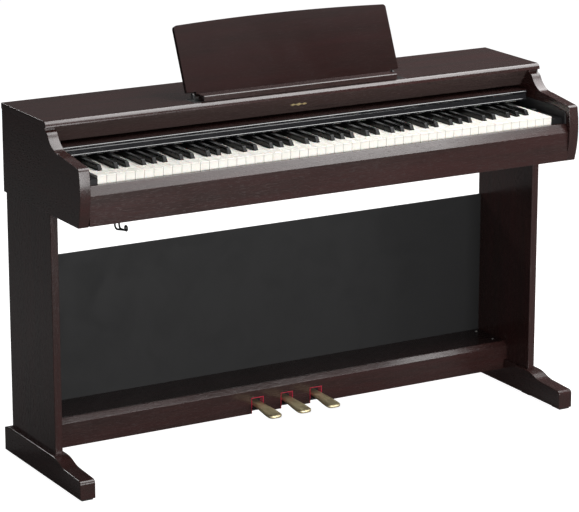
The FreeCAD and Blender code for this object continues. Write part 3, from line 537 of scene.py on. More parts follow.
@dataclass(frozen=True)
class FloorFinish(Finish):
    """Plain white studio floor that throws little light back at the object."""

    colour: Colour = (0.30, 0.30, 0.30)
    bounce: Colour = (0.15, 0.15, 0.15)
    glow: float = 0.95

    def dress(self, bench: MaterialBench) -> None:
        """Wire a white floor in view and a duller one for reflected light.

        Args:
            bench: Bench on the material's tree.
        """
        white = bench.surface(Base_Color=self.colour, Roughness=0.9, Specular_IOR_Level=0.0,
                              Emission_Color=(1.0, 1.0, 1.0), Emission_Strength=self.glow)
        dull = bench.node("BsdfDiffuse", {"Color": self.bounce}).outputs[0]
        bench.by_view(dull, white, bench.tree.nodes["Material Output"])


WOOD_X = WoodFinish("rosewood_foil_long")
WOOD_Y = WoodFinish("rosewood_foil_deep", grain=Grain.ALONG_Y)
WOOD_Z = WoodFinish("rosewood_foil_upright", grain=Grain.ALONG_Z)
# Lighter copy of the wood for the upper front panel: painted light, standing in for light bounced
# up from the keys.
WOOD_FASCIA_PAINTED_LIGHT = WoodFinish("rosewood_foil_fascia_painted_light", dark=(0.032, 0.0215, 0.0200),
                         light=(0.048, 0.034, 0.031), red=(0.046, 0.029, 0.027))
WOOD_MATT = WoodFinish("rosewood_foil_matt", dark=(0.0088, 0.0038, 0.0034),
                       light=(0.0140, 0.0062, 0.0055), red=(0.0160, 0.0050, 0.0048), specular=0.08)
# Darker copy of the wood for the key bed and the pedal box top: painted shade for surfaces that lie
# under other parts.
WOOD_PAINTED_SHADE = WoodFinish("rosewood_foil_painted_shade", dark=(0.008, 0.0045, 0.004),
                        light=(0.018, 0.011, 0.010), red=(0.017, 0.008, 0.008))
HARDBOARD = MouldedFinish("raw_hardboard", (0.17, 0.10, 0.06), 0.7, 0.85, 300.0, 0.35)
BACK_BOARD = MouldedFinish("matt_black_board", (0.0062, 0.0062, 0.0065), 0.55, 0.68, 420.0, 0.3,
                           0.3)
SATIN_BLACK = MouldedFinish("satin_black_moulding")
BUTTON_BLACK = MouldedFinish("button_black_moulding", (0.02, 0.02, 0.021), 0.3, 0.4)
EBONY = MouldedFinish("ebony_key_moulding", (0.0050, 0.0050, 0.0052), 0.22, 0.32, 700.0, 0.05, 0.18)
END_BLACK = MouldedFinish("satin_end_block", (0.006, 0.006, 0.0065), 0.34, 0.42, 700.0, 0.05, 0.22)
WIRE_BLACK = MouldedFinish("black_coated_wire", (0.007, 0.007, 0.007), 0.38, 0.48, specular=0.35)
CHASSIS = MouldedFinish("grey_chassis_moulding", (0.09, 0.09, 0.095), 0.5, 0.65)
CONE = MouldedFinish("speaker_paper_and_basket", (0.014, 0.014, 0.014), 0.6, 0.75)
GRILLE = MouldedFinish("speaker_grille_cloth", (0.012, 0.012, 0.012), 0.8, 0.9, 1600.0, 0.8)
CIRCUIT = MouldedFinish("circuit_board_resist", (0.015, 0.11, 0.045), 0.25, 0.4)
RUBBER = MouldedFinish("black_rubber", (0.018, 0.018, 0.018), 0.75, 0.88, 500.0, 0.4)
GLOSS_BLACK = LacquerFinish("black_lacquer")
IVORY = IvoryFinish("ivory_key_moulding")
BRASS = MetalFinish("pale_pedal_brass", (0.66, 0.57, 0.36), low=0.40, high=0.52,
                    tarnish=(0.48, 0.40, 0.22))
GILT = MetalFinish("gilt_inlay", (0.95, 0.80, 0.46), Grain.ALONG_X, 0.5, 0.6, (0.80, 0.62, 0.30))
ZINC = MetalFinish("zinc_plate")
# Zinc plate made nearly black: painted shade, so the pedal chassis looks dark inside the pedal
# slots.
ZINC_PAINTED_SHADE = MetalFinish("zinc_plate_painted_shade", (0.09, 0.09, 0.09), low=0.45, high=0.6,
                        tarnish=(0.05, 0.05, 0.048))
SPRING_WIRE = MetalFinish("spring_wire", (0.42, 0.42, 0.43))
FELT = FeltFinish("crimson_felt_lining")
LENS = LensFinish("red_lens")
FLOOR = FloorFinish("studio_floor")


# ---------------------------------------------------------------- mesh tools


def cleaned(node: str) -> bmesh.types.BMesh:
    """Copy a node's mesh with its split corners joined and its flat faces whole.

    Args:
        node: Name of the node.

    Returns:
        The copy.
    """
    mesh = bmesh.new()
    mesh.from_mesh(frame["nodes"][node].data)
    bmesh.ops.remove_doubles(mesh, verts=mesh.verts, dist=WELD)
    bmesh.ops.dissolve_limit(mesh, angle_limit=math.radians(LEVEL), verts=mesh.verts,
                             edges=mesh.edges)
    mesh.faces.index_update()
    return mesh


def islands(mesh: bmesh.types.BMesh) -> list[list[bmesh.types.BMFace]]:
    """Faces of each separate solid of a mesh.

    Args:
        mesh: The mesh.

    Returns:
        A list of faces for each solid.
    """
    reached = set()
    found = []
    for first in mesh.faces:
        pile = [] if first in reached else [first]
        island = []
        reached.add(first)
        while pile:
            face = pile.pop()
            island.append(face)
            beside = {other for edge in face.edges for other in edge.link_faces} - reached
            reached |= beside
            pile += sorted(beside, key=lambda other: other.index)
        if island:
            found.append(island)
    return found


def extent(island: Iterable[bmesh.types.BMFace]) -> tuple[Vector, Vector]:
    """Box round some faces.

    Args:
        island: The faces.

    Returns:
        Its low and high corners.
    """
    corners = [vert.co for face in island for vert in face.verts]
    return (Vector(min(corner[axis] for corner in corners) for axis in range(3)),
            Vector(max(corner[axis] for corner in corners) for axis in range(3)))


def round_box(node: str) -> tuple[Vector, float, float]:
    """Measures of an upright round node.

    Args:
        node: Name of the node.

    Returns:
        The middle of its foot, its radius and its height.
    """
    low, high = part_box(node)
    return (Vector(((low.x + high.x) / 2, (low.y + high.y) / 2, low.z)), (high.x - low.x) / 2,
            high.z - low.z)


def band(mesh: bmesh.types.BMesh, rings: Sequence[Sequence[bmesh.types.BMVert]]) -> None:
    """Join closed rings of corners, each to the next, with a band of faces.

    Args:
        mesh: Mesh that the corners are in.
        rings: The rings, all with as many corners.
    """
    for lower, upper in zip(rings, rings[1:]):
        for number, corner in enumerate(lower):
            following = (number + 1) % len(lower)
            mesh.faces.new((corner, lower[following], upper[following], upper[number]))


def new_object(name: str, mesh: bmesh.types.BMesh) -> bpy.types.Object:
    """Make an object of a mesh, in the frame's own place.

    Args:
        name: Name of the object.
        mesh: Its mesh, which is used up.

    Returns:
        The object.
    """
    bmesh.ops.recalc_face_normals(mesh, faces=mesh.faces)
    data = bpy.data.meshes.new(name)
    for face in mesh.faces:
        face.smooth = True
    mesh.to_mesh(data)
    mesh.free()
    piece = bpy.data.objects.new(name, data)
    bpy.context.scene.collection.objects.link(piece)
    return piece


def soften(piece: bpy.types.Object, width: float, segments: int, angle: float) -> None:
    """Round an object's edges and keep its large faces flat in the light.

    Args:
        piece: The object.
        width: Width of the rounding in metres.
        segments: Steps across it.
        angle: Smallest angle of an edge that is rounded, in degrees.
    """
    bevel = piece.modifiers.new("softened_edges", "BEVEL")
    bevel.width = width
    bevel.segments = segments
    bevel.limit_method = "ANGLE"
    bevel.angle_limit = math.radians(angle)
    bevel.harden_normals = True
    bevel.miter_outer = "MITER_ARC"
    level = piece.modifiers.new("level_faces", "WEIGHTED_NORMAL")
    level.mode = "FACE_AREA"
    level.weight = 100


def add_prism(mesh: bmesh.types.BMesh, outline: Sequence[Vector], rise: Vector) -> None:
    """Add a closed prism.

    Args:
        mesh: Mesh to add it to.
        outline: Corners of one end, in order.
        rise: Way from that end to the other.
    """
    lower = [mesh.verts.new(corner) for corner in outline]
    upper = [mesh.verts.new(corner + rise) for corner in outline]
    mesh.faces.new(lower)
    mesh.faces.new(upper[::-1])
    band(mesh, (lower, upper))


def add_lathe(mesh: bmesh.types.BMesh, outline: Sequence[tuple[float, float]], turn: Matrix,
              steps: int = 32) -> None:
    """Add a solid of revolution about a local Z axis.

    Args:
        mesh: Mesh to add it to.
        outline: (radius, height) points from the axis at one end to the axis at the other.
        turn: Place and direction of the axis.
        steps: Steps round the axis.
    """
    rings = []
    for radius, height in outline:
        if radius < ON_AXIS:
            rings.append([mesh.verts.new(turn @ Vector((0, 0, height)))])
            continue
        rings.append([
            mesh.verts.new(turn @ Vector((radius * math.cos(step * math.tau / steps),
                                          radius * math.sin(step * math.tau / steps), height)))
            for step in range(steps)])
    for lower, upper in zip(rings, rings[1:]):
        for step in range(steps):
            following = (step + 1) % steps
            if len(lower) == 1 and len(upper) == 1:
                continue
            if len(lower) == 1:
                mesh.faces.new((lower[0], upper[step], upper[following]))
            elif len(upper) == 1:
                mesh.faces.new((lower[step], lower[following], upper[0]))
            else:
                mesh.faces.new((lower[step], lower[following], upper[following], upper[step]))


def add_tube(mesh: bmesh.types.BMesh, path: Sequence[Vector], radius: float,
             steps: int = 12) -> None:
    """Add a round wire along a path, closed at both ends.

    Args:
        mesh: Mesh to add it to.
        path: Points along its middle.
        radius: Radius of the wire.
        steps: Steps round it.
    """
    rings = []
    across = None
    for number, point in enumerate(path):
        ahead = (path[min(number + 1, len(path) - 1)] - path[max(number - 1, 0)]).normalized()
        across = across - ahead * across.dot(ahead) if across else ahead.orthogonal()
        across = across.normalized()
        beside = ahead.cross(across)
        rings.append([
            mesh.verts.new(point + across * radius * math.cos(step * math.tau / steps)
                           + beside * radius * math.sin(step * math.tau / steps))
            for step in range(steps)])
    band(mesh, rings)
    mesh.faces.new(rings[0][::-1])
    mesh.faces.new(rings[-1])


def aimed(place: Vector, axis: Vector) -> Matrix:
    """Place and direction as a matrix.

    Args:
        place: Where the local origin goes.
        axis: Where the local Z axis points.

    Returns:
        The matrix.
    """
    return Matrix.Translation(place) @ axis.to_track_quat("Z", "Y").to_matrix().to_4x4()


def add_bar(mesh: bmesh.types.BMesh, section: Iterable[tuple[float, float]], start: float,
            end: float) -> None:
    """Add a bar that lies along X.

    Args:
        mesh: Mesh to add it to.
        section: Its outline as Y and Z.
        start: X of its left end.
        end: X of its right end.
    """
    add_prism(mesh, [Vector((start, y, z)) for y, z in section], Vector((end - start, 0, 0)))


def arc(centre: tuple[float, float], radius: float, start: float, end: float,
        steps: int) -> list[tuple[float, float]]:
    """Points of an arc.

    Args:
        centre: Its centre.
        radius: Its radius.
        start: Angle of its first point in degrees.
        end: Angle of its last point in degrees.
        steps: Steps along it.

    Returns:
        The (u, v) points.
    """
    angles = [math.radians(start + (end - start) * step / steps) for step in range(steps + 1)]
    return [(centre[0] + radius * math.cos(a), centre[1] + radius * math.sin(a)) for a in angles]


@dataclass(frozen=True)
class ScrewHead:
    """Domed screw head with a cross recess, its sizes as shares of its radius or its height."""

    height: float = 0.45
    profile: tuple[tuple[float, float], ...] = ((1.0, 0.0), (1.0, 0.35), (0.86, 0.75), (0.62, 1.0))
    arm: float = 0.13
    wing: float = 0.44
    recess: float = 0.7
    steps: int = 24

    def add(self, mesh: bmesh.types.BMesh, place: Vector, axis: Vector, radius: float) -> None:
        """Add one to a mesh.

        Args:
            mesh: Mesh to add it to.
            place: Middle of the head's foot.
            axis: Direction that the head points in.
            radius: Radius of the head.
        """
        turn = aimed(place, axis)
        tall = radius * self.height
        dome = [(radius * across, tall * up) for across, up in self.profile]
        add_lathe(mesh, [(0.0, 0.0)] + dome, turn, self.steps)
        border = list(mesh.verts[-self.steps:])
        arm, wing = radius * self.arm, radius * self.wing
        corners = []
        for quarter in range(4):
            spin = Matrix.Rotation(quarter * math.pi / 2, 4, "Z")
            corners += [spin @ Vector((arm, -arm, tall)), spin @ Vector((wing, -arm, tall)),
                        spin @ Vector((wing, arm, tall))]
        sunk = Vector((0, 0, tall * self.recess))
        top = [mesh.verts.new(turn @ corner) for corner in corners]
        deep = [mesh.verts.new(turn @ (corner - sunk)) for corner in corners]
        edges = [mesh.edges.new(pair) for pair in zip(top, top[1:] + top[:1])]
        edges += [edge for vert in border for edge in vert.link_edges
                  if all(end in border for end in edge.verts)]
        bmesh.ops.triangle_fill(mesh, use_beauty=True, edges=list(dict.fromkeys(edges)))
        band(mesh, (top, deep))
        mesh.faces.new(deep)


SCREW = ScrewHead()


# ---------------------------------------------------------------- assemblies


@dataclass
class Assembly:
    """Sub-assembly of the instrument, which dresses its pieces from one shelf of materials."""

    effects: SharedEffects
    shelf: dict[Finish, bpy.types.Material] = field(default_factory=dict)

    def material(self, finish: Finish) -> bpy.types.Material:
        """Material of a finish, built when it is first asked for.

        Args:
            finish: The finish.

        Returns:
            Its material.
        """
        if finish not in self.shelf:
            self.shelf[finish] = finish.material(self.effects)
        return self.shelf[finish]

    def refine(self, node: str, finish: Finish, width: float, segments: int = 2) -> None:
        """Show a node as the same shape with rounded edges.

        Args:
            node: Name of the node.
            finish: Its finish.
            width: Width of the rounding in metres.
            segments: Steps across the rounding.
        """
        self.add_piece(node + "_finished", cleaned(node), node, finish, width, True, segments)

    def paint(self, node: str, finish: Finish) -> None:
        """Give a node that is shown as it is a finish.

        Args:
            node: Name of the node.
            finish: Its finish.
        """
        data = frame["nodes"][node].data
        data.materials.clear()
        data.materials.append(self.material(finish))
        LOG.info("%s is shown as it is in %s", node, finish.name)

    def add_piece(self, name: str, mesh: bmesh.types.BMesh, node: str, finish: Finish,
                  rounding: float = 0.0, stands_for: bool = False, segments: int = 2,
                  angle: float = 30.0) -> bpy.types.Object:
        """Add a piece in a finish and let it ride on the body of a node.

        Args:
            name: Name of the piece.
            mesh: Its mesh, in place, which is used up.
            node: Node whose body carries it.
            finish: Its finish.
            rounding: Width of the rounding of its edges, or 0.
            stands_for: True if the piece is shown in the node's place.
            segments: Steps across the rounding.
            angle: Smallest angle of an edge that is rounded, in degrees.

        Returns:
            The piece.
        """
        piece = new_object(name, mesh)
        if rounding:
            soften(piece, rounding, segments, angle)
        piece.data.materials.append(self.material(finish))
        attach(piece, BODY_OF[node])
        if stands_for:
            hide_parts(node)
        LOG.info("%s rides on %s in %s", name, BODY_OF[node], finish.name)
        return piece

    def add_turned(self, name: str, outline: Sequence[tuple[float, float]], place: Vector,
                   node: str, finish: Finish, steps: int = 48, stands_for: bool = True) -> None:
        """Add an upright turned piece.

        Args:
            name: Name of the piece.
            outline: Radius and height of each corner of its section.
            place: Middle of its foot.
            node: Node whose body carries it.
            finish: Its finish.
            steps: Steps round it.
            stands_for: True if the piece is shown in the node's place.
        """
        mesh = bmesh.new()
        add_lathe(mesh, outline, Matrix.Translation(place), steps)
        self.add_piece(name, mesh, node, finish, stands_for=stands_for)

    def build(self) -> None:
        """Build and dress every piece."""
        raise NotImplementedError


@dataclass
class CabinetCase(Assembly):
    """Case panels, ornament, speaker grilles and the fixings on the back."""

    edge: float = 0.9 * MM
    fascia_thickness: float = 12 * MM
    lozenge: tuple[float, float] = (7.4 * MM, 3.6 * MM)
    lozenge_pitch: float = 15 * MM
    lozenge_sizes: tuple[float, ...] = (1.0, 1.35, 1.0)
    lozenge_edge: float = 0.12 * MM
    inlay: float = 0.5 * MM
    ring_radius: float = 49 * MM
    ring_rise: float = 3 * MM
    ring_lip: float = 2 * MM
    cloth_share: float = 0.93
    cloth_sag: float = 1.5 * MM
    grille_place: float = 4 * MM
    screw_radius: float = 3.6 * MM
    screw_inset: tuple[float, float] = (20 * MM, 12 * MM)
    back_screws: int = 9

    def build(self) -> None:
        """Build and dress the case."""
        for side in SIDES:
            self.refine(side + "_cheek", WOOD_Y, self.edge, 3)
            self.paint(side + "_speaker", CONE)
        # The key bed's darker wood is painted shade.
        # The upper front panel's lighter wood is painted light.
        for node, finish, share in (
                ("top_board", WOOD_X, 0.7), ("key_slip", WOOD_X, 0.7),
                ("key_bed", WOOD_PAINTED_SHADE, 0.5), ("upper_front_panel", WOOD_FASCIA_PAINTED_LIGHT, 0.5),
                ("cabinet_back_panel", HARDBOARD, 0.4), ("cover_tracks", SATIN_BLACK, 0.5)):
            self.refine(node, finish, self.edge * share)
        self.paint("circuit_board", CIRCUIT)
        self.ornament()
        self.grilles()
        self.fixings()

    def ornament(self) -> None:
        """Three small gilt lozenges let into the middle of the upper front panel."""
        low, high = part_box("upper_front_panel")
        head = Vector((0, low.y, high.z))
        foot = Vector((0, high.y - self.fascia_thickness, low.z))
        up = (head - foot).normalized()
        out = Vector((1, 0, 0)).cross(up)
        middle = (head + foot) / 2
        mesh = bmesh.new()
        for number, size in enumerate(self.lozenge_sizes):
            place = (number - len(self.lozenge_sizes) // 2) * self.lozenge_pitch
            centre = middle + Vector((place, 0, 0)) - out * self.inlay
            wide = Vector((self.lozenge[0] * size, 0, 0))
            tall = up * self.lozenge[1] * size
            add_prism(mesh, [centre - wide, centre - tall, centre + wide, centre + tall],
                      out * self.inlay * 2)
        self.add_piece("fascia_ornament", mesh, "upper_front_panel", GILT, self.lozenge_edge)

    def grilles(self) -> None:
        """Cloth-covered grille and clamping ring in each speaker opening."""
        outer, inner = self.ring_radius, self.ring_radius * self.cloth_share
        rise, lip, sag = self.ring_rise, self.ring_lip, self.cloth_sag
        cloth = [(0, -sag), (outer / 2, 0.2 * MM - sag), (inner, 0), (inner, lip), (0, lip)]
        ring = [(inner, -lip), (outer, -rise), (outer, rise), (inner, rise), (inner, -lip)]
        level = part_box("key_bed")[0].z + self.grille_place
        for side in SIDES:
            centre = round_box(side + "_speaker")[0]
            centre.z = level
            for name, outline, finish in (("grille", cloth, GRILLE), ("ring", ring, SATIN_BLACK)):
                self.add_turned("%s_speaker_%s" % (side, name), outline, centre, "key_bed",
                                finish, stands_for=False)

    def fixings(self) -> None:
        """Screws round the cabinet's back panel."""
        low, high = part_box("cabinet_back_panel")
        mesh = bmesh.new()
        inset, margin = self.screw_inset
        run = high.x - low.x - 2 * inset
        for number in range(self.back_screws):
            x = low.x + inset + run * number / (self.back_screws - 1)
            for z in (low.z + margin, high.z - margin):
                SCREW.add(mesh, Vector((x, high.y, z)), Vector((0, 1, 0)), self.screw_radius)
        self.add_piece("back_panel_screws", mesh, "cabinet_back_panel", ZINC)


@dataclass
class KeyWell(Assembly):
    """Liners and end blocks beside the keys, and the controls on them."""

    edge: float = 0.5 * MM
    button_rim: float = 1.0 * MM
    button_dish: float = 0.7 * MM
    slider_stem: float = 1.5 * MM
    slider_rim: float = 1.0 * MM
    slider_edge: float = 0.15 * MM
    ridges: int = 4
    ridge_pitch: float = 1.5 * MM
    ridge_depth: float = 0.6 * MM

    def build(self) -> None:
        """Build and dress the key well."""
        for side in SIDES:
            self.refine(side + "_cover_guide", SATIN_BLACK, self.edge)
            self.refine(side + "_end_block", END_BLACK, self.edge * 1.6)
        self.refine("voice_button", BUTTON_BLACK, self.edge)
        self.power_button()
        self.volume_slider()
        self.lamp()

    def power_button(self) -> None:
        """Round push button with a dished top."""
        place, radius, tall = round_box("power_button")
        rim, dish = self.button_rim, self.button_dish
        outline = [(0, 0), (radius, 0), (radius, tall - rim),
                   (radius - 0.35 * rim, tall - 0.25 * rim), (radius - rim, tall),
                   (radius * 0.6, tall - 0.45 * rim), (0, tall - dish)]
        self.add_turned("power_button_cap", outline, place, "power_button", BUTTON_BLACK)

    def volume_slider(self) -> None:
        """Slider cap with a dished back and finger ridges."""
        low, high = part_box("volume_slider")
        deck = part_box("left_end_block")[1].z
        middle = (low.x + high.x) / 2
        rim, depth, pitch = self.slider_rim, self.ridge_depth, self.ridge_pitch
        mesh = bmesh.new()
        front, back, neck = low.y + rim, high.y - rim, deck + 1.2 * rim
        add_bar(mesh, ((front, low.z), (back, low.z), (back, neck), (front, neck)),
                middle - self.slider_stem, middle + self.slider_stem)
        section = [(low.y, deck + rim), (low.y + rim, high.z - rim)]
        for ridge in range(self.ridges):
            start = low.y + 1.4 * rim + ridge * pitch
            section += [(start, high.z), (start + pitch / 2, high.z),
                        (start + pitch / 2, high.z - depth), (start + pitch, high.z - depth)]
        section += [(high.y - depth, high.z - rim), (high.y, deck + rim)]
        add_bar(mesh, section, low.x, high.x)
        self.add_piece("volume_slider_cap", mesh, "volume_slider", BUTTON_BLACK,
                       self.slider_edge, True)

    def lamp(self) -> None:
        """Small domed lens beside the power button."""
        place, radius, tall = round_box("power_lamp")
        dome = [(radius * u, tall * v) for u, v in arc((0.0, 0.0), 1.0, 0, 90, 6)[:-1]]
        self.add_turned("power_lamp_lens", [(0, 0)] + dome + [(0, tall)], place, "power_lamp",
                        LENS, 24)


@dataclass
class Keyboard(Assembly):
    """White keys with lipped tops, black keys with sloped fronts, and the chassis under them."""

    groups: int = 7
    lip: float = 2.6 * MM
    overhang: float = 0.9 * MM
    white_edge: float = 0.35 * MM
    seam: float = 0.02 * MM
    black_edge: float = 1.15 * MM
    black_front_slope: float = 6.5 * MM
    black_waist: float = 0.5 * MM
    black_crown_inset: float = 0.9 * MM

    def build(self) -> None:
        """Build and dress every key group."""
        self.paint("keyboard_chassis", CHASSIS)
        for number in range(1, self.groups + 1):
            self.white_group("white_keys_%d" % number)
            self.black_group("black_keys_%d" % number)

    def white_group(self, node: str) -> None:
        """White keys of one octave: a body and a top plate that overhangs its front.

        Args:
            node: Name of the group's node.
        """
        low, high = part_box(node)
        front, shelf = low.y + self.overhang, high.z - self.lip
        source = cleaned(node)
        mesh = bmesh.new()
        for island in islands(source):
            top = max(island, key=lambda face: (face.normal.z > 0.9, face.calc_center_median().z))
            outline = [vert.co.copy() for vert in top.verts]
            plate = [Vector((corner.x, corner.y, shelf)) for corner in outline]
            add_prism(mesh, plate, Vector((0, 0, self.lip)))
            trunk = [Vector((corner.x, max(corner.y, front), low.z)) for corner in outline]
            add_prism(mesh, trunk, Vector((0, 0, shelf - low.z - self.seam)))
        source.free()
        self.add_piece(node + "_tops", mesh, node, IVORY, self.white_edge, True)

    def black_group(self, node: str) -> None:
        """Black keys of one octave: upright sides, a sloped front and a rounded crown.

        Args:
            node: Name of the group's node.
        """
        source = cleaned(node)
        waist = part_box("white_keys_1")[1].z + self.black_waist
        mesh = bmesh.new()
        for island in islands(source):
            low, high = extent(island)
            inset = self.black_crown_inset
            rings = []
            for z, narrow, slope in ((low.z, 0.0, 0.0), (waist, inset / 10, 0.0),
                                     (high.z, inset, self.black_front_slope)):
                left, right, front = low.x + narrow, high.x - narrow, low.y + slope
                plan = ((left, front), (right, front), (right, high.y), (left, high.y))
                rings.append([mesh.verts.new((x, y, z)) for x, y in plan])
            band(mesh, rings)
            mesh.faces.new(rings[0][::-1])
            mesh.faces.new(rings[-1])
        source.free()
        self.add_piece(node + "_sharps", mesh, node, EBONY, self.black_edge, True, 4, 25.0)


@dataclass
class KeyCover(Assembly):
    """Sliding cover: its board and the lacquered front rail with a bead along both edges."""

    bead: float = 3.0 * MM
    groove: float = 0.9 * MM
    step: float = 3.6 * MM
    face_back: float = 1.6 * MM
    face_lean: float = 2.4 * MM
    board_edge: float = 0.6 * MM
    rail_edge: float = 0.15 * MM

    def build(self) -> None:
        """Build and dress the cover."""
        self.refine("cover_board", WOOD_X, self.board_edge)
        self.front_rail()

    def front_rail(self) -> None:
        """Rail with a bead above and below, a shelf under the upper one and a leaning face."""
        low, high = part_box("cover_rail")
        bead, groove = self.bead, self.groove
        face = low.y + self.face_back
        head = face + self.face_lean
        lean = face + self.face_lean * 0.6
        upper, lower = high.z - bead * 1.8, low.z + bead * 1.88
        ledge = upper - self.step
        section = [(high.y, low.z), (high.y, high.z)]
        section += arc((low.y + bead, high.z - bead), bead, 90, 215, 12)
        section += [(head + groove, upper), (lean, ledge),
                    (lean + groove, ledge - groove / 3), (face, lower)]
        section += arc((low.y + bead, low.z + bead), bead, 118, 270, 14)
        mesh = bmesh.new()
        add_bar(mesh, section, low.x, high.x)
        self.add_piece("cover_rail_beaded", mesh, "cover_rail", GLOSS_BLACK, self.rail_edge, True)


@dataclass
class MusicRest(Assembly):
    """Folding music rest with its ledge, hinge rail and stays."""

    edge: float = 0.9 * MM

    def build(self) -> None:
        """Build and dress the rest."""
        self.refine("music_rest_panel", WOOD_MATT, self.edge)
        self.refine("music_rest_ledge", WOOD_X, self.edge * 0.6)
        self.refine("rest_hinge_rail", WIRE_BLACK, self.edge * 0.3)
        for side in SIDES:
            self.refine(side + "_rest_stay", ZINC, self.edge * 0.3)


@dataclass
class StandFrame(Assembly):
    """Legs, feet, pedal box boards and the back panel."""

    edge: float = 0.9 * MM
    screw_radius: float = 3.4 * MM
    grip: float = 14 * MM
    grip_edge: float = 1 * MM
    threads: int = 12
    thread_depth: float = 0.6 * MM

    def build(self) -> None:
        """Build and dress the stand."""
        for side in SIDES:
            self.refine(side + "_leg", WOOD_Z, self.edge * 0.7)
            self.refine(side + "_foot", WOOD_Y, self.edge, 3)
        # The pedal box top's darker wood is painted shade.
        for node, finish, share in (
                ("pedal_front_board", WOOD_X, 0.7), ("pedal_top_board", WOOD_PAINTED_SHADE, 0.5),
                ("stand_back_panel", BACK_BOARD, 0.5), ("foot_pads", RUBBER, 1.0)):
            self.refine(node, finish, self.edge * share)
        self.screws()
        self.adjuster()

    def screws(self) -> None:
        """Screw heads on the pedal box."""
        mesh = bmesh.new()
        source = cleaned("stand_screws")
        for island in islands(source):
            low, high = extent(island)
            place = Vector(((low.x + high.x) / 2, (low.y + high.y) / 2, low.z))
            SCREW.add(mesh, place, Vector((0, 0, 1)), self.screw_radius)
        source.free()
        self.add_piece("stand_screw_heads", mesh, "stand_screws", ZINC, stands_for=True)

    def adjuster(self) -> None:
        """Turning foot under the pedal box, with a grip round its base."""
        place, radius, tall = round_box("pedal_adjuster")
        grip, edge = self.grip, self.grip_edge
        outline = [(0, 0), (radius * 0.9, 0), (radius, edge), (radius, grip - edge),
                   (radius * 0.9, grip), (radius * 0.5, grip)]
        for thread in range(self.threads):
            height = grip + (tall - grip) * (thread + 0.5) / self.threads
            outline += [(radius * 0.5, height - self.thread_depth), (radius * 0.42, height)]
        outline += [(radius * 0.5, tall), (0, tall)]
        self.add_turned("pedal_adjuster_foot", outline, place, "pedal_adjuster", SATIN_BLACK, 36)


@dataclass
class PedalSet(Assembly):
    """Three brass pedals in felt-lined slots, with their chassis and springs."""

    neck: float = 24 * MM
    thickness: float = 8 * MM
    drop: float = 7 * MM
    boss: float = 7 * MM
    crown: float = 13 * MM
    fullness: float = 2.1
    nose: float = 5 * MM
    tip_steps: tuple[float, ...] = (0.0, 0.4, 1.1, 2.3, 4.1, 6.5, 9.5, 13.0, 19.0, 30.0)  # mm
    pivot: float = 20 * MM
    corners: int = 16
    squareness: tuple[float, float] = (0.35, 0.5)
    small_edge: float = 0.4 * MM
    wire: float = 1.0 * MM
    coils: int = 5
    coil_steps: int = 20

    def build(self) -> None:
        """Build and dress the pedals."""
        for side in ("left", "middle", "right"):
            self.pedal(side + "_pedal")
        self.refine("pedal_felts", FELT, self.small_edge)
        # The chassis metal is darkened as painted shade in the slots.
        self.refine("pedal_chassis", ZINC_PAINTED_SHADE, self.small_edge)
        self.springs()

    def pedal(self, node: str) -> None:
        """One pedal: a bar that widens and droops to a smooth toe.

        Args:
            node: Name of the pedal's node.
        """
        low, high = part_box(node)
        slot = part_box("pedal_front_board")[0].y
        middle = (low.x + high.x) / 2
        level = high.z - self.boss
        toe_half = (high.x - low.x) / 2
        mesh = bmesh.new()
        rings = []
        for station in self.stations(low.y, high.y, slot):
            half, lift, half_thick = self.section(station, low.y, slot, toe_half)
            ring = []
            for number in range(self.corners):
                angle = math.tau * (number + 0.5) / self.corners
                across, up = (math.copysign(abs(share) ** power, share) for share, power in
                              zip((math.cos(angle), math.sin(angle)), self.squareness))
                ring.append(mesh.verts.new((middle + half * across, station,
                                            level + lift + half_thick * up)))
            rings.append(ring)
        band(mesh, rings)
        mesh.faces.new(rings[0])
        mesh.faces.new(rings[-1][::-1])
        half = self.neck / 2
        add_lathe(mesh, [(0, -half), (self.boss, -half), (self.boss, half), (0, half)],
                  aimed(Vector((middle, high.y - self.pivot, level)), Vector((1, 0, 0))), 32)
        piece = self.add_piece(node + "_lever", mesh, node, BRASS, stands_for=True)
        smooth = piece.modifiers.new("smooth_form", "SUBSURF")
        smooth.levels = 1
        smooth.render_levels = 1

    def stations(self, tip: float, heel: float, slot: float) -> list[float]:
        """Places along a pedal, closer together at its tip.

        Args:
            tip: Y of its tip.
            heel: Y of its heel.
            slot: Y of the pedal box's front.

        Returns:
            The stations from tip to heel.
        """
        near = [tip + offset * MM for offset in self.tip_steps]
        far = [slot + (heel - slot) * share for share in (0.0, 0.3, 0.6, 0.9, 1.0)]
        between = [near[-1] + (slot - near[-1]) * share for share in (0.3, 0.6)]
        return near + between + far

    def section(self, station: float, tip: float, slot: float,
                toe_half: float) -> tuple[float, float, float]:
        """Half width, lift and half thickness of a pedal at a station.

        Args:
            station: Y of the station.
            tip: Y of the pedal's tip.
            slot: Y of the pedal box's front.
            toe_half: Half the width of the toe.

        Returns:
            The three sizes in metres.
        """
        ahead = max(0.0, (slot - station) / (slot - tip))
        lift = -self.drop * ahead ** 1.15
        half = self.neck / 2 + (toe_half - self.neck / 2) * min(1.0, ahead / 0.7)
        near = station - tip + 0.1 * MM
        if near < self.crown:
            half *= (1.0 - (1.0 - near / self.crown) ** self.fullness) ** (1.0 / self.fullness)
        half_thick = self.thickness / 2
        if near < self.nose:
            inside = 1.0 - near / self.nose
            half_thick *= math.sqrt(max(0.03, 1.0 - inside ** 2))
        return half, lift, half_thick

    def springs(self) -> None:
        """Coiled return springs under the pedals' heels."""
        source = cleaned("pedal_springs")
        mesh = bmesh.new()
        for island in islands(source):
            low, high = extent(island)
            middle = (low + high) / 2
            radius = (high.x - low.x) / 2 - self.wire
            rise = high.z - low.z - 2 * self.wire
            steps = self.coils * self.coil_steps
            path = []
            for step in range(steps + 1):
                angle = math.tau * self.coils * step / steps
                path.append(Vector((middle.x + radius * math.cos(angle),
                                    middle.y + radius * math.sin(angle),
                                    low.z + self.wire + rise * step / steps)))
            add_tube(mesh, path, self.wire, 8)
        source.free()
        self.add_piece("pedal_spring_coils", mesh, "pedal_springs", SPRING_WIRE, stands_for=True)


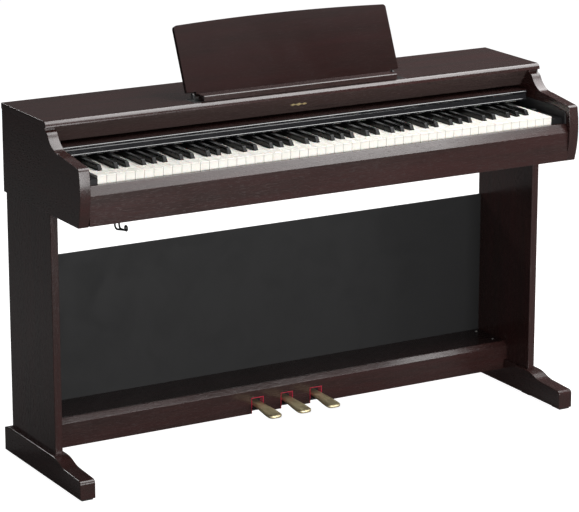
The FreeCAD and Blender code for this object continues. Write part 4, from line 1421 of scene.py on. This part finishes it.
@dataclass
class HangerAndSockets(Assembly):
    """Headphone hanger, headphone sockets and power inlet."""

    collar: float = 1.2 * MM
    collar_edge: float = 0.4 * MM
    collar_depth: tuple[float, float] = (-0.5 * MM, 0.9 * MM)
    wire_edge: float = 0.05 * MM
    box_edge: float = 0.5 * MM

    def build(self) -> None:
        """Build and dress the hanger and sockets."""
        self.refine("headphone_hook", WIRE_BLACK, self.wire_edge)
        self.refine("headphone_jack_box", SATIN_BLACK, self.box_edge)
        self.refine("power_inlet", SATIN_BLACK, self.box_edge)
        mounts = {mount["name"]: mount for mount in frame["record"]["mounts"]}
        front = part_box("headphone_jack_box")[0].y
        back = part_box("power_inlet")[1].y
        mesh = bmesh.new()
        for name, face in (("phones_socket_left", front), ("phones_socket_right", front),
                           ("power_socket", back)):
            mount = mounts[name]
            place = Vector(mount["pos_m"])
            place.y = face
            radius = mount["dims"]["r_mm"] * MM
            outer, edge = radius + self.collar, self.collar_edge
            foot, head = self.collar_depth
            add_lathe(mesh, [(radius, foot), (outer, foot), (outer, head - edge),
                             (outer - edge, head), (radius, head), (radius, foot)],
                      aimed(place, Vector(mount["axis"])), 32)
        self.add_piece("socket_collars", mesh, "headphone_jack_box", ZINC)


# ---------------------------------------------------------------- studio


@dataclass
class Softbox:
    """Rectangular studio light."""

    name: str
    place: tuple[float, float, float]
    aim: tuple[float, float, float]
    size: tuple[float, float]
    power: float

    def build(self) -> None:
        """Hang the light."""
        data = bpy.data.lights.new(self.name, "AREA")
        data.shape = "RECTANGLE"
        data.size, data.size_y = self.size
        data.energy = self.power
        lamp = bpy.data.objects.new(self.name, data)
        lamp.location = self.place
        beam = Vector(self.aim) - Vector(self.place)
        lamp.rotation_euler = beam.to_track_quat("-Z", "Y").to_euler()
        bpy.context.scene.collection.objects.link(lamp)


@dataclass
class Studio:
    """White floor, soft lights and the camera."""

    assembly: Assembly
    floor_half: float = 30.0
    ambient: float = 0.10
    azimuth: float = -29.89
    elevation: float = 15.244
    distance: float = 6.693
    aim: tuple[float, float, float] = (-0.0178, 0.0, 0.4411)
    focal: float = 173.75
    sensor: float = 36.0
    lights: tuple[Softbox, ...] = (
        Softbox("front_softbox", (-0.15, -5.0, 0.92), (0.0, 0.0, 0.6), (3.6, 1.7), 235.0),
        Softbox("left_softbox", (-5.5, -6.5, 1.1), (0.0, 0.0, 0.5), (3.0, 2.0), 62.0),
        Softbox("overhead_softbox", (1.3, -0.30, 3.05), (0.0, -0.1, 0.8), (3.4, 2.0), 175.0),
        Softbox("high_front_softbox", (1.83, -2.42, 3.33), (0.0, -0.2, 0.7), (2.8, 1.0), 30.0),
        Softbox("right_fill", (4.6, -2.9, 0.8), (0.3, 0.0, 0.5), (1.4, 1.2), 55.0),
        Softbox("rim_softbox", (-1.1, 3.6, 2.6), (-0.3, 0.0, 0.7), (1.6, 0.8), 60.0),
    )

    def build(self) -> None:
        """Set up the studio."""
        self.floor()
        self.world()
        for light in self.lights:
            light.build()
        self.camera()

    def floor(self) -> None:
        """Lay the floor."""
        mesh = bmesh.new()
        half = self.floor_half
        level = CAD_BOX[0].z
        mesh.faces.new([mesh.verts.new((x * half, y * half, level)) for x, y in
                        ((-1, -1), (1, -1), (1, 1), (-1, 1))])
        floor = new_object("studio_floor", mesh)
        floor.data.materials.append(self.assembly.material(FLOOR))

    def world(self) -> None:
        """White surroundings that give only a little fill light."""
        world = bpy.data.worlds.new("studio")
        world.use_nodes = True
        bench = NodeBench(world.node_tree)
        nodes = world.node_tree.nodes
        bench.feed(nodes["Background"], {"Color": (1.0, 1.0, 1.0), "Strength": self.ambient})
        white = bench.node("Background", {"Color": (1.0, 1.0, 1.0), "Strength": 1.0})
        bench.by_view(nodes["Background"].outputs[0], white.outputs[0], nodes["World Output"])
        bpy.context.scene.world = world
        bpy.context.scene.view_settings.view_transform = "Standard"

    def camera(self) -> None:
        """Place the camera round the aim point."""
        turn, rise = math.radians(self.azimuth), math.radians(self.elevation)
        back = Vector((math.sin(turn) * math.cos(rise), -math.cos(turn) * math.cos(rise),
                       math.sin(rise)))
        data = bpy.data.cameras.new("studio_camera")
        data.sensor_width = self.sensor
        data.lens = self.focal
        camera = bpy.data.objects.new("studio_camera", data)
        camera.location = Vector(self.aim) + back * self.distance
        camera.rotation_euler = (-back).to_track_quat("-Z", "Y").to_euler()
        bpy.context.scene.collection.objects.link(camera)
        bpy.context.scene.camera = camera


def main() -> None:
    """Build every assembly and the studio."""
    logging.basicConfig(level=logging.INFO, format="%(name)s: %(message)s")
    effects = SharedEffects()
    shelf: dict[Finish, bpy.types.Material] = {}
    for kind in (CabinetCase, KeyWell, Keyboard, KeyCover, MusicRest, StandFrame, PedalSet,
                 HangerAndSockets):
        assembly = kind(effects, shelf)
        assembly.build()
        LOG.info("%s done", kind.__name__)
    Studio(assembly).build()


if __name__ == "__main__":
    main()
